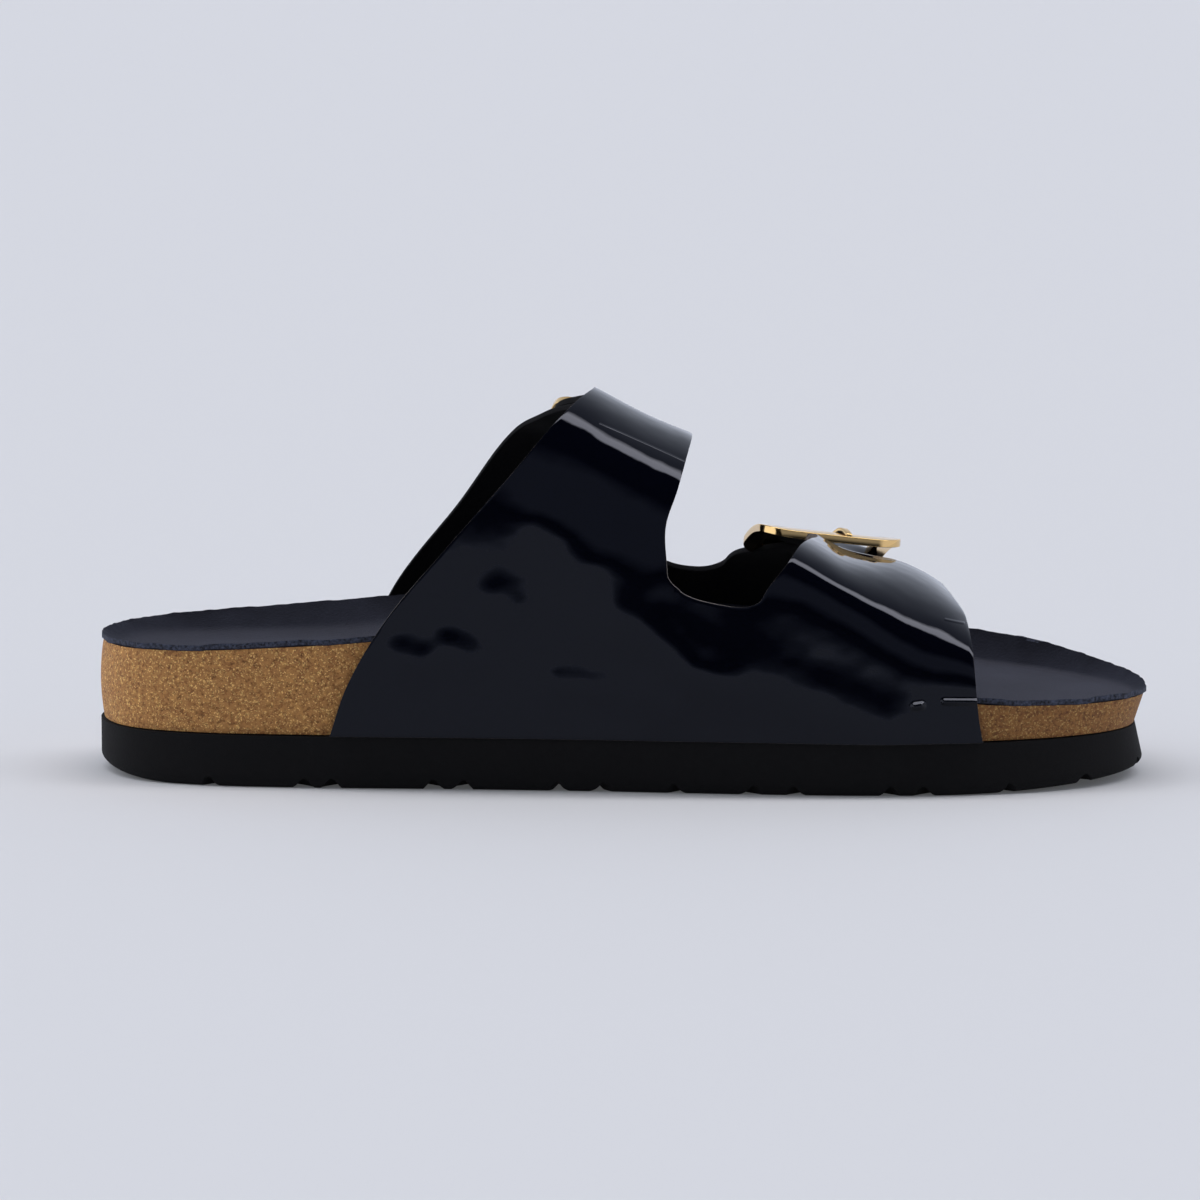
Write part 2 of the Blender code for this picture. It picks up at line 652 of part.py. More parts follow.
def buckle_prong(name, frame, home, grow=0.0):
    """The prong, from the hinge bar up through the strap to its rest on the medial bar."""
    rest = RING_BAR_THICK / 2 + GAP + PRONG_THICK / 2
    path = [(PRONG_ROOT - 2 * grow, 0.0, PRONG_WIDE)]
    path += [(inward, up, PRONG_WIDE) for inward, up in PRONG_RISE]
    path += [
        (frame.length - PRONG_LEVEL, rest, PRONG_TIP_WIDE),
        (frame.length, rest, PRONG_TIP_WIDE),
        (frame.length + PRONG_OVERHANG + 2 * grow, rest - PRONG_TIP_DROP, PRONG_TIP_WIDE),
    ]
    rings = []
    for inward, up, wide in path:
        section = bar_section(wide + 2 * grow, PRONG_THICK + 2 * grow, PRONG_THICK / 4)
        shift = PRONG_SLANT * inward / frame.length
        rings.append([frame.point(shift + w, inward, up + t) for w, t in section])
    return ring_loft(name, rings, home, "capped")


def main():
    """Build every piece."""
    for thing in list(bpy.data.objects):
        bpy.data.objects.remove(thing)
    home = collection("footbed_sandal")
    cutters = collection("cutters")
    patent = material("patent_leather", (0.010, 0.011, 0.017), 0.08)
    cork = material("cork", (0.40, 0.20, 0.07), 0.75)
    suede = material("suede", (0.012, 0.014, 0.024), 0.95)
    foam = material("foam_rubber", (0.009, 0.009, 0.011), 0.85)
    gold = material("gilt_metal", (0.80, 0.58, 0.30), 0.15, 1.0)

    outsole = make_outsole(home, cutters)
    outsole.data.materials.append(foam)
    block = make_cork(home)
    block.data.materials.append(cork)
    liner = make_liner(home)
    liner.data.materials.append(suede)
    upper = make_strap_wall(home)
    upper.data.materials.append(patent)
    frames = {buckle: BuckleFrame(buckle) for buckle in BUCKLES}
    for buckle in BUCKLES:
        boolean(upper, strap_end(buckle, cutters), "UNION")
    for buckle, frame in frames.items():
        ring = buckle_ring(buckle.name + "_frame", frame, home)
        ring.data.materials.append(gold)
        prong = buckle_prong(buckle.name + "_prong", frame, home)
        prong.data.materials.append(gold)
        ring_room = buckle_ring(buckle.name + "_frame_room", frame, cutters, BUCKLE_CLEAR)
        prong_room = buckle_prong(buckle.name + "_prong_room", frame, cutters, BUCKLE_CLEAR)
        for room in (ring_room, prong_room):
            boolean(upper, room, "DIFFERENCE", "MANIFOLD")


main()
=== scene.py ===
"""Footbed sandal for the left foot, dressed: fine forms, finishes, camera and studio light.

Tables and sizes are in millimetres; meshes are made in metres. The toe points along +X, the inner
side of the foot along -Y, and the sole stands on Z = 0.
"""

import logging
import math
from dataclasses import dataclass
from enum import Enum
from typing import Any, Callable, NamedTuple, Sequence

import bpy
import numpy as np
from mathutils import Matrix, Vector


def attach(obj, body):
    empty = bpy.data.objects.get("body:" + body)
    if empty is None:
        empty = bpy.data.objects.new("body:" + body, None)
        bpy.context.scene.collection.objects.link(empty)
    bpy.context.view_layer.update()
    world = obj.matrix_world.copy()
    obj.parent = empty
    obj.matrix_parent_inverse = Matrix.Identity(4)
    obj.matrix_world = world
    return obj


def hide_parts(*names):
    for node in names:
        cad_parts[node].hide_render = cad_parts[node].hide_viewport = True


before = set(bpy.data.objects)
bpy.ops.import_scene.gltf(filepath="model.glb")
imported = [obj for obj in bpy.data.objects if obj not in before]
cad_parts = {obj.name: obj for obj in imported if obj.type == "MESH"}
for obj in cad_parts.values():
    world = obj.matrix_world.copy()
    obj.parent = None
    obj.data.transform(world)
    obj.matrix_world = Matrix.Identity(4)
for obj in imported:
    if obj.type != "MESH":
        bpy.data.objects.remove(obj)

log = logging.getLogger("footbed_sandal")

MM = 0.001
BODY = "root"
LEVEL_PLACES = "level_places"
FULL_TURN = 2 * math.pi
MERGE_DISTANCE = 2e-6
Array = np.ndarray
Place = Callable[[Array, Array], Array]


class Slot(Enum):
    """The record's material slots."""

    FOAM = "foam_rubber"
    CORK = "cork"
    SUEDE = "suede"
    PATENT = "patent_leather"
    GILT = "gilt_metal"


class Side(Enum):
    """The two sides of the foot."""

    MEDIAL = 0
    LATERAL = 1

    @property
    def toward_foot(self) -> float:
        """Sign of a step round the girth from the ridge to this side's foot edge."""
        return -1.0 if self is Side.MEDIAL else 1.0


class Pick(Enum):
    """What is selected in edit mode."""

    VERTICES = "VERT"
    FACES = "FACE"


class LeatherFace(Enum):
    """Number of the finish on a leather sheet's faces."""

    OUTER = 0
    LINING = 1
    CUT = 2


class Node(Enum):
    """Blender's names of the shader nodes in use."""

    PLACE = "ShaderNodeTexCoord"
    NOISE = "ShaderNodeTexNoise"
    CELLS = "ShaderNodeTexVoronoi"
    BUMP = "ShaderNodeBump"
    VECTOR = "ShaderNodeVectorMath"
    MATH = "ShaderNodeMath"
    CLAMP = "ShaderNodeClamp"
    RANGE = "ShaderNodeMapRange"
    SPLIT = "ShaderNodeSeparateXYZ"
    SPLIT_COLOUR = "ShaderNodeSeparateColor"
    RAMP = "ShaderNodeValToRGB"
    MIX = "ShaderNodeMix"
    ATTRIBUTE = "ShaderNodeAttribute"


# Curves and tables


@dataclass(frozen=True)
class Curve:
    """Smooth curve through a short table: cubic pieces with three-point slopes."""

    knots: Sequence[float]
    values: Sequence[float]

    def __call__(self, at: Array | float) -> Array:
        """Value of the curve, held level beyond its ends.

        Args:
            at: Places to read, in the table's own units.

        Returns:
            The curve's values there.
        """
        knots = np.asarray(self.knots, float)
        values = np.asarray(self.values, float)
        slopes = np.gradient(values, knots)
        at = np.clip(np.asarray(at, float), knots[0], knots[-1])
        i = np.clip(np.searchsorted(knots, at) - 1, 0, len(knots) - 2)
        span = knots[i + 1] - knots[i]
        t = (at - knots[i]) / span
        start = (1 + 2 * t) * (1 - t) ** 2 * values[i] + t * (1 - t) ** 2 * span * slopes[i]
        end = t * t * (3 - 2 * t) * values[i + 1] + t * t * (t - 1) * span * slopes[i + 1]
        return start + end


def column(table: Sequence[NamedTuple], key: str, name: str) -> Curve:
    """Smooth curve of one table column against another."""
    return Curve([getattr(row, key) for row in table], [getattr(row, name) for row in table])


def through(pairs: Sequence[tuple[float, float]]) -> Curve:
    """Smooth curve through pairs of a place and a value."""
    return Curve(*zip(*pairs))


def part_way(value: Array, start: float | Array, end: float | Array) -> Array:
    """How far a value has come from a start to an end, held between 0 and 1."""
    return np.clip((value - start) / (end - start), 0.0, 1.0)


def smooth(share: Array) -> Array:
    """Soft step from 0 to 1."""
    t = np.clip(share, 0.0, 1.0)
    return t * t * (3 - 2 * t)


class Plan(NamedTuple):
    """Half widths of the footbed, rim heights, seat height and how far the rim's slope runs in."""

    along: float
    medial: float
    lateral: float
    rim_medial: float
    rim_lateral: float
    seat: float
    cup: float


class Stand(NamedTuple):
    """How far the cork's and the sole's sides stand out from the plan."""

    along: float
    cork_foot: float
    cork_middle: float
    cork_rim: float
    sole_top: float
    sole_foot: float


class Section(NamedTuple):
    """Height of the upper's ridge, and how square its medial wall, medial crown and lateral shoulder are."""

    along: float
    ridge: float
    medial_wall: float
    medial_crown: float
    lateral_square: float


class Cut(NamedTuple):
    """The upper's cut edges at a place round the girth."""

    around: float
    rear: float
    slot_back: float
    slot_front: float
    front: float


class Crease(NamedTuple):
    """Soft ridge between two places on the medial side."""

    x: float
    z: float
    end_x: float
    end_z: float
    height: float
    spread: float


FOOT_AROUND = 0.32
LENGTH = 249.6


@dataclass
class Last:
    """The form that the sandal is built on: plan, footbed and girth of the upper."""

    heel_back: float = -125.2
    centre_y: float = -2.85
    gap: float = 0.3
    sole_top: float = 12.3
    wall_clear: float = 1.1
    ridge_y: float = -4.0
    strap_skews: tuple[tuple[float, float], ...] = ((60.0, 30.0), (125.0, 30.0), (150.0, 44.0), (210.0, 44.0))
    middle_inset: float = 30.0
    pad_place: tuple[float, float] = (146.0, 3.0)
    pad_spread: float = 15.0
    pad_height: float = 3.2
    toe_bar: tuple[float, float, float] = (205.0, 6.0, 1.8)
    toe_spring: tuple[float, float] = (72.0, 2.8)
    heel_roll: tuple[float, float] = (-106.0, 2.4)
    girth_from: float = 40.0
    girth_to: float = 226.0
    girth_step: float = 0.5
    girth_places: int = 901
    shoulder_samples: int = 260
    plan: tuple[Plan, ...] = (
        Plan(0.0, 0.0, 0.0, 33.0, 33.0, 28.6, 17.0),
        Plan(9.0, 21.5, 21.5, 33.2, 33.2, 28.3, 17.0),
        Plan(25.0, 29.0, 29.5, 33.7, 33.7, 28.0, 18.0),
        Plan(50.0, 32.5, 33.5, 35.2, 35.2, 28.4, 19.0),
        Plan(84.0, 34.5, 37.5, 37.5, 36.8, 29.6, 24.0),
        Plan(119.0, 37.5, 42.0, 36.8, 35.8, 29.6, 24.0),
        Plan(154.0, 41.5, 46.0, 32.2, 32.8, 26.8, 15.0),
        Plan(184.0, 43.6, 47.4, 26.6, 29.8, 23.0, 10.0),
        Plan(208.0, 42.2, 44.0, 23.0, 27.6, 20.4, 9.0),
        Plan(228.0, 36.5, 33.5, 21.9, 25.4, 19.3, 8.5),
        Plan(241.0, 28.0, 18.0, 21.6, 23.2, 19.0, 8.0),
        Plan(LENGTH, 8.0, -8.0, 21.6, 21.6, 19.0, 8.0),
    )
    stands: tuple[Stand, ...] = (
        Stand(0.0, 0.0, 0.8, 0.0, 0.8, 0.8),
        Stand(30.0, 0.0, 0.6, 0.0, 1.3, 1.7),
        Stand(120.0, 0.0, 0.3, 0.0, 1.6, 2.2),
        Stand(210.0, 0.0, 0.4, 0.3, 1.2, 2.2),
        Stand(LENGTH, -0.8, 0.4, 1.6, -0.6, 1.2),
    )
    sections: tuple[Section, ...] = (
        Section(50.0, 104.0, 3.2, 2.2, 2.0),
        Section(75.0, 101.0, 3.2, 2.2, 2.0),
        Section(100.0, 96.3, 3.2, 2.2, 1.9),
        Section(110.0, 94.0, 3.2, 2.2, 1.9),
        Section(118.0, 90.9, 3.2, 2.2, 1.9),
        Section(124.0, 87.7, 3.15, 2.2, 1.9),
        Section(130.0, 84.6, 3.1, 2.2, 1.9),
        Section(136.0, 81.9, 3.05, 2.2, 1.9),
        Section(142.0, 79.3, 3.0, 2.2, 1.9),
        Section(147.0, 75.2, 3.0, 2.4, 1.9),
        Section(152.0, 69.0, 3.0, 2.7, 1.95),
        Section(157.0, 63.6, 3.2, 3.4, 1.9),
        Section(161.0, 60.8, 3.4, 4.4, 1.85),
        Section(165.0, 58.6, 3.6, 5.0, 1.8),
        Section(171.0, 55.5, 3.7, 5.1, 1.8),
        Section(178.0, 51.8, 3.5, 4.8, 1.8),
        Section(185.0, 50.0, 2.95, 3.5, 1.8),
        Section(191.0, 48.9, 2.55, 2.6, 1.8),
        Section(198.0, 45.8, 2.42, 2.35, 1.85),
        Section(205.0, 41.0, 2.65, 2.8, 1.9),
        Section(217.0, 31.5, 3.0, 3.6, 2.0),
    )
    cuts: tuple[Cut, ...] = (
        Cut(-FOOT_AROUND, 56.2, 134.0, 157.0, 209.8),
        Cut(-0.16, 60.2, 135.0, 156.5, 208.9),
        Cut(0.0, 67.0, 136.0, 157.2, 208.3),
        Cut(0.25, 83.6, 136.0, 158.4, 207.0),
        Cut(0.4, 93.8, 135.5, 164.0, 206.3),
        Cut(0.55, 103.1, 138.2, 167.0, 205.7),
        Cut(0.75, 112.8, 140.4, 169.6, 203.8),
        Cut(1.0, 118.0, 141.3, 171.3, 201.5),
        Cut(1.1, 117.4, 140.9, 169.6, 200.2),
        Cut(1.2, 113.4, 140.0, 167.4, 198.6),
        Cut(1.3, 107.2, 138.2, 164.8, 196.4),
        Cut(1.45, 98.6, 134.6, 160.4, 193.0),
        Cut(1.72, 85.4, 130.2, 151.6, 188.0),
        Cut(2.0, 67.8, 131.0, 150.0, 185.6),
        Cut(2.16, 62.0, 132.0, 150.0, 185.2),
        Cut(2.0 + FOOT_AROUND, 59.0, 132.0, 150.0, 185.0),
    )

    def __post_init__(self) -> None:
        """Work out the curves and the girth's tables."""
        self.side_y = self.around_plan("medial", "lateral", -1.0)
        self.rim = self.around_plan("rim_medial", "rim_lateral", 1.0)
        self.seat = column(self.plan, "along", "seat")
        self.cup = column(self.plan, "along", "cup")
        self.ridge = column(self.sections, "along", "ridge")
        self.skew = through(self.strap_skews)
        self.square = {name: column(self.sections, "along", name) for name in Section._fields[2:]}
        self.stand = {name: column(self.stands, "along", name) for name in Stand._fields[1:]}
        self.edge = {name: column(self.cuts, "around", name) for name in Cut._fields[1:]}
        self.alongs = np.arange(self.girth_from, self.girth_to, self.girth_step)
        self.arounds = np.linspace(-FOOT_AROUND, 2 + FOOT_AROUND, self.girth_places)
        sections = [self.girth(along) for along in self.alongs]
        self.girth_y, self.girth_z, self.shoulders = (np.array(values) for values in zip(*sections))

    def turn_at(self, along: Array | float) -> Array:
        """Angle round the plan of a place on the medial side: 0 at the heel, pi at the toe."""
        return np.arccos(np.clip(1 - 2 * np.asarray(along) / LENGTH, -1.0, 1.0))

    def along_of(self, turn: Array) -> Array:
        """Distance from the back of the heel of a point on the plan."""
        return LENGTH / 2 * (1 - np.cos(turn))

    def around_plan(self, medial: str, lateral: str, sign: float) -> Curve:
        """Closed curve round the plan: the heel, the medial side, the toe and back.

        Args:
            medial: Column of the plan for the medial side.
            lateral: Column of the plan for the lateral side.
            sign: Sign of the medial values.

        Returns:
            The curve over a full turn, with some rows repeated beyond its ends.
        """
        turns = [float(self.turn_at(row.along)) for row in self.plan]
        knots = turns + [FULL_TURN - turn for turn in reversed(turns[1:-1])]
        values = [sign * getattr(row, medial) for row in self.plan]
        values += [getattr(row, lateral) for row in reversed(self.plan[1:-1])]
        lead = [knots[-2] - FULL_TURN, knots[-1] - FULL_TURN]
        tail = [knots[0] + FULL_TURN, knots[1] + FULL_TURN]
        return Curve(lead + knots + tail, values[-2:] + values + values[:2])

    def outline(self, turn: Array, stand_out: Array | float) -> tuple[Array, Array]:
        """Points of the plan's outline, moved out along its normal.

        Args:
            turn: Angle round the plan.
            stand_out: How far the points are moved out.

        Returns:
            x and y.
        """
        step = 1e-4
        run = LENGTH / 2 * np.sin(turn)
        ahead = self.side_y((turn + step) % FULL_TURN)
        rise = (ahead - self.side_y((turn - step) % FULL_TURN)) / (2 * step)
        size = np.hypot(run, rise)
        x = self.heel_back + self.along_of(turn) + stand_out * rise / size
        return x, self.centre_y + self.side_y(turn) - stand_out * run / size

    def middle(self, turn: Array) -> tuple[Array, Array]:
        """Points of the footbed's middle line that points of the outline look to."""
        x = self.heel_back + LENGTH / 2 - (LENGTH / 2 - self.middle_inset) * np.cos(turn)
        side = self.turn_at(x - self.heel_back)
        return x, self.centre_y + (self.side_y(side) + self.side_y(FULL_TURN - side)) / 2

    def toward_middle(self, turn: Array, reach: Array,
                      stand_out: Array | float) -> tuple[Array, Array, Array]:
        """Points between the middle line and the outline.

        Args:
            turn: Angle round the plan.
            reach: 0 on the middle line, 1 on the outline.
            stand_out: How far the outline stands out.

        Returns:
            x, y and the distance in from the outline.
        """
        rim_x, rim_y = self.outline(turn, stand_out)
        mid_x, mid_y = self.middle(turn)
        inward = (1 - reach) * np.hypot(rim_x - mid_x, rim_y - mid_y)
        return mid_x + reach * (rim_x - mid_x), mid_y + reach * (rim_y - mid_y), inward

    def relief(self, along: Array, y: Array) -> Array:
        """Pad and toe bar, above the plain footbed."""
        pad = ((along - self.pad_place[0]) ** 2 + (y - self.pad_place[1]) ** 2) / self.pad_spread ** 2
        bar_along, bar_spread, bar_height = self.toe_bar
        bar = ((along - bar_along) / bar_spread) ** 2
        return self.pad_height * np.exp(-pad) + bar_height * np.exp(-bar)

    def bed(self, turn: Array, reach: Array, stand_out: Array | float) -> tuple[Array, Array, Array]:
        """Points of the footbed's top.

        Args:
            turn: Angle round the plan.
            reach: 0 on the middle line, 1 at the rim.
            stand_out: How far the rim stands out from the plan.

        Returns:
            x, y and z.
        """
        along = self.along_of(turn)
        x, y, inward = self.toward_middle(turn, reach, stand_out)
        slope = np.maximum(1 - inward / self.cup(along), 0.0) ** 2
        here = x - self.heel_back
        seat = self.seat(here) + self.relief(here, y) * (1 - slope)
        return x, y, seat + (self.rim(turn) - self.seat(along)) * slope

    def sole_foot(self, x: Array) -> Array:
        """Height of the sole's underside: flat, rolled at the heel and sprung at the toe."""
        spring_from, spring_height = self.toe_spring
        roll_from, roll_height = self.heel_roll
        spring = np.maximum(x - spring_from, 0.0) / (LENGTH + self.heel_back - spring_from)
        roll = np.maximum(roll_from - x, 0.0) / (roll_from - self.heel_back)
        return spring_height * spring ** 2 + roll_height * roll ** 2

    def girth(self, along: float) -> tuple[Array, Array, float]:
        """One section of the upper's lining face.

        Args:
            along: Distance of the section from the back of the heel.

        Returns:
            y and z at the girth's places, and the length of the lateral shoulder.
        """
        ridge_y = self.centre_y + self.ridge_y
        turn = self.turn_at(along)
        rims = (self.rim(turn), self.rim(FULL_TURN - turn))
        foot = self.sole_top + self.gap
        medial = self.centre_y + self.side_y(turn) - self.wall_clear
        lateral = self.centre_y + self.side_y(FULL_TURN - turn) + self.wall_clear
        count = self.shoulder_samples
        angle = np.linspace(0, math.pi / 2, count + 1)
        wall = 2 / self.square["medial_wall"](along)
        crown = 2 / self.square["medial_crown"](along)
        far = 2 / self.square["lateral_square"](along)
        cosine = np.cos(angle).clip(0, 1)
        sine = np.sin(angle)
        medial_y = ridge_y - (ridge_y - medial) * cosine ** crown
        medial_z = rims[0] + (self.ridge(along) - rims[0]) * sine ** wall
        skewed = self.ridge(along + self.skew(along) * np.linspace(0, 1, count + 1))
        lateral_y = ridge_y + (lateral - ridge_y) * sine ** far
        lateral_z = rims[1] + (skewed - rims[1]) * cosine ** far
        y = np.concatenate(([medial], medial_y, lateral_y[1:], [lateral]))
        z = np.concatenate(([foot], medial_z, lateral_z[1:], [foot]))
        arc = np.concatenate(([0.0], np.cumsum(np.hypot(np.diff(y), np.diff(z)))))
        corners = arc[[0, 1, 1 + count, 1 + 2 * count, 2 + 2 * count]]
        around = np.interp(arc, corners, [-FOOT_AROUND, 0.0, 1.0, 2.0, 2.0 + FOOT_AROUND])
        shoulder = corners[3] - corners[2]
        return np.interp(self.arounds, around, y), np.interp(self.arounds, around, z), shoulder

    def shoulder_at(self, along: Array | float) -> Array:
        """Length of the lateral shoulder, from the ridge to the rim."""
        return np.interp(along, self.alongs, self.shoulders)

    def around_at(self, along: Array | float, arc: Array | float) -> Array:
        """Place round the girth of a distance past the ridge, towards the lateral side."""
        return 1 + arc / self.shoulder_at(along)

    def lining(self, along: Array, around: Array) -> Array:
        """Points of the upper's lining face, in mm.

        Args:
            along: Distance from the back of the heel.
            around: Place round the girth.

        Returns:
            Points read between the girth tables' own places.
        """
        # Places are held just short of the tables' last row, so that each has a next one.
        short = 1.001
        around_step = self.arounds[1] - self.arounds[0]
        u = np.clip((along - self.alongs[0]) / self.girth_step, 0, len(self.alongs) - short)
        v = np.clip((around + FOOT_AROUND) / around_step, 0, self.girth_places - short)
        i = u.astype(int)
        j = v.astype(int)
        fu = u - i
        fv = v - j
        found = []
        for table in (self.girth_y, self.girth_z):
            low = table[i, j] * (1 - fv) + table[i, j + 1] * fv
            high = table[i + 1, j] * (1 - fv) + table[i + 1, j + 1] * fv
            found.append(low * (1 - fu) + high * fu)
        return np.stack((self.heel_back + along, found[0], found[1]), -1)

    def leather(self, along: Array, around: Array, height: Array | float) -> Array:
        """Points above the upper's lining face, along its normal.

        Args:
            along: Distance from the back of the heel.
            around: Place round the girth.
            height: Height above the lining face.

        Returns:
            Points in mm.
        """
        step_along = 1.0
        step_around = 0.012
        here = self.lining(along, around)
        run = self.lining(along + step_along, around) - self.lining(along - step_along, around)
        climb = self.lining(along, around + step_around) - self.lining(along, around - step_around)
        normal = np.cross(climb, run)
        normal /= np.linalg.norm(normal, axis=-1, keepdims=True)
        return here - normal * np.asarray(height)[..., None]


# Mesh making


def deselect() -> None:
    """Leave edit mode and select nothing."""
    if bpy.context.object and bpy.context.object.mode != "OBJECT":
        bpy.ops.object.mode_set(mode="OBJECT")
    bpy.ops.object.select_all(action="DESELECT")


def select_only(thing: bpy.types.Object) -> None:
    """Make one piece the active one and the only one selected."""
    deselect()
    bpy.context.view_layer.objects.active = thing
    thing.select_set(True)


def coordinates(thing: bpy.types.Object) -> Array:
    """Vertex places of a mesh object."""
    flat = np.empty(len(thing.data.vertices) * 3)
    thing.data.vertices.foreach_get("co", flat)
    return flat.reshape(-1, 3)


def place_vertices(thing: bpy.types.Object, places: Array) -> None:
    """Move every vertex of a mesh object to its place."""
    thing.data.vertices.foreach_set("co", np.ascontiguousarray(places, float).ravel())
    thing.data.update()


def pick(thing: bpy.types.Object, kind: Pick, chosen: Array) -> None:
    """Select vertices or faces of the active object, and nothing else, and enter edit mode.

    Args:
        thing: The active mesh object.
        kind: What is selected.
        chosen: Which ones, in the mesh's order.
    """
    bpy.ops.object.mode_set(mode="OBJECT")
    for items in (thing.data.vertices, thing.data.edges, thing.data.polygons):
        items.foreach_set("select", np.zeros(len(items), bool))
    items = thing.data.vertices if kind is Pick.VERTICES else thing.data.polygons
    items.foreach_set("select", np.asarray(chosen, bool))
    bpy.ops.object.mode_set(mode="EDIT")
    bpy.ops.mesh.select_mode(type=kind.value)


def face_centres(thing: bpy.types.Object) -> Array:
    """Middles of a mesh object's faces."""
    flat = np.empty(len(thing.data.polygons) * 3)
    thing.data.polygons.foreach_get("center", flat)
    return flat.reshape(-1, 3)


def new_grid(name: str, columns: int, rows: int) -> bpy.types.Object:
    """Unit grid whose x and y run from 0 to 1 over its columns and rows of faces."""
    deselect()
    bpy.ops.mesh.primitive_grid_add(x_subdivisions=columns, y_subdivisions=rows, size=1.0)
    thing = bpy.context.object
    thing.name = name
    thing.data.name = name
    place_vertices(thing, coordinates(thing) + np.array((0.5, 0.5, 0.0)))
    return thing


def merge_and_face_out(thing: bpy.types.Object) -> None:
    """Close seams and turn every face outwards."""
    bpy.context.view_layer.objects.active = thing
    bpy.ops.object.mode_set(mode="EDIT")
    bpy.ops.mesh.select_all(action="SELECT")
    bpy.ops.mesh.remove_doubles(threshold=MERGE_DISTANCE)
    bpy.ops.mesh.normals_make_consistent(inside=False)
    bpy.ops.object.mode_set(mode="OBJECT")


def wrapped(name: str, columns: int, rows: int, place: Place, capped: bool = False) -> bpy.types.Object:
    """Closed form from a grid rolled into a ring.

    Args:
        name: Name of the piece.
        columns: Faces round the ring.
        rows: Faces from the first ring to the last.
        place: Gives points in mm for the turn (0 to 1) and the row (0 to 1).
        capped: Whether the two end rings are filled.

    Returns:
        The mesh object, in metres.
    """
    thing = new_grid(name, columns, rows)
    unit = coordinates(thing)
    place_vertices(thing, place(unit[:, 0], unit[:, 1]) * MM)
    merge_and_face_out(thing)
    if capped:
        bpy.ops.object.mode_set(mode="EDIT")
        bpy.ops.mesh.select_all(action="SELECT")
        bpy.ops.mesh.fill_holes(sides=0)
        bpy.ops.mesh.normals_make_consistent(inside=False)
        bpy.ops.object.mode_set(mode="OBJECT")
    return thing


def apply_modifier(thing: bpy.types.Object, kind: str, **settings: Any) -> None:
    """Add a modifier with its settings and apply it.

    Args:
        thing: The mesh object.
        kind: Blender's name of the modifier's type.
        **settings: Values set on the modifier.
    """
    select_only(thing)
    made = thing.modifiers.new(kind.lower(), kind)
    for name, value in settings.items():
        setattr(made, name, value)
    bpy.ops.object.modifier_apply(modifier=made.name)


def round_edges(thing: bpy.types.Object, width: float, segments: int, degrees: float,
                **settings: Any) -> None:
    """Bevel the edges that are sharper than an angle, by a width in mm."""
    apply_modifier(thing, "BEVEL", width=width * MM, segments=segments, limit_method="ANGLE",
                   angle_limit=math.radians(degrees), **settings)


def slice_across(count: int, start: float, end: float) -> None:
    """Cut the mesh in edit mode across Y into equal lengths between two places."""
    for i in range(1, count):
        bpy.ops.mesh.select_all(action="SELECT")
        bpy.ops.mesh.bisect(plane_co=(0, start + (end - start) * i / count, 0), plane_no=(0, 1, 0))


def smooth_by_angle(thing: bpy.types.Object, degrees: float) -> None:
    """Smooth shading with edges sharper than the angle kept sharp."""
    select_only(thing)
    bpy.ops.object.shade_smooth_by_angle(angle=math.radians(degrees))


def cut_away(thing: bpy.types.Object, cutter: bpy.types.Object) -> None:
    """Cut a form out of a piece, and remove the cutter."""
    apply_modifier(thing, "BOOLEAN", object=cutter, operation="DIFFERENCE", solver="EXACT")
    bpy.data.objects.remove(cutter)


def finish_piece(thing: bpy.types.Object, slot: Slot, *nodes: str) -> None:
    """Tie a finished piece to the frame.

    Args:
        thing: The piece.
        slot: Not used.
        *nodes: The solids that it stands for.
    """
    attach(thing, BODY)
    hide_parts(*nodes)
    log.info("%s: %d faces for %s", thing.name, len(thing.data.polygons), ", ".join(nodes))


# Finishes


def linear(colour: str) -> tuple[float, float, float, float]:
    """Linear colour of an sRGB hex value such as #a0b0c0."""
    parts = [int(colour[i:i + 2], 16) / 255 for i in (1, 3, 5)]
    mixed = [part / 12.92 if part <= 0.04045 else ((part + 0.055) / 1.055) ** 2.4 for part in parts]
    return (mixed[0], mixed[1], mixed[2], 1.0)


def per_mm(size: float) -> float:
    """Texture scale on coordinates in metres for features of a size in mm."""
    return 1 / (size * MM)


def set_inputs(node: bpy.types.Node, values: dict[str, Any]) -> None:
    """Set values on a node's inputs, by name."""
    for name, value in values.items():
        node.inputs[name].default_value = value


def add_node(tree: bpy.types.NodeTree, kind: Node, inputs: dict[str | int, Any] | None = None,
             stops: Sequence[tuple[float, str]] = (), **settings: Any) -> bpy.types.Node:
    """Add a node with its settings and links.

    Args:
        tree: The material's node tree.
        kind: The node's type.
        inputs: Sockets to link and values to set, by the input's name or number.
        stops: Places and hex colours of a colour ramp.
        **settings: Values set on the node itself.

    Returns:
        The node.
    """
    made = tree.nodes.new(kind.value)
    for name, value in settings.items():
        setattr(made, name, value)
    for name, value in (inputs or {}).items():
        if isinstance(value, bpy.types.NodeSocket):
            tree.links.new(value, made.inputs[name])
        else:
            made.inputs[name].default_value = value
    for number, (place, colour) in enumerate(stops):
        ramp = made.color_ramp.elements
        stop = ramp[number] if number < 2 else ramp.new(place)
        stop.position = place
        stop.color = linear(colour)
    return made


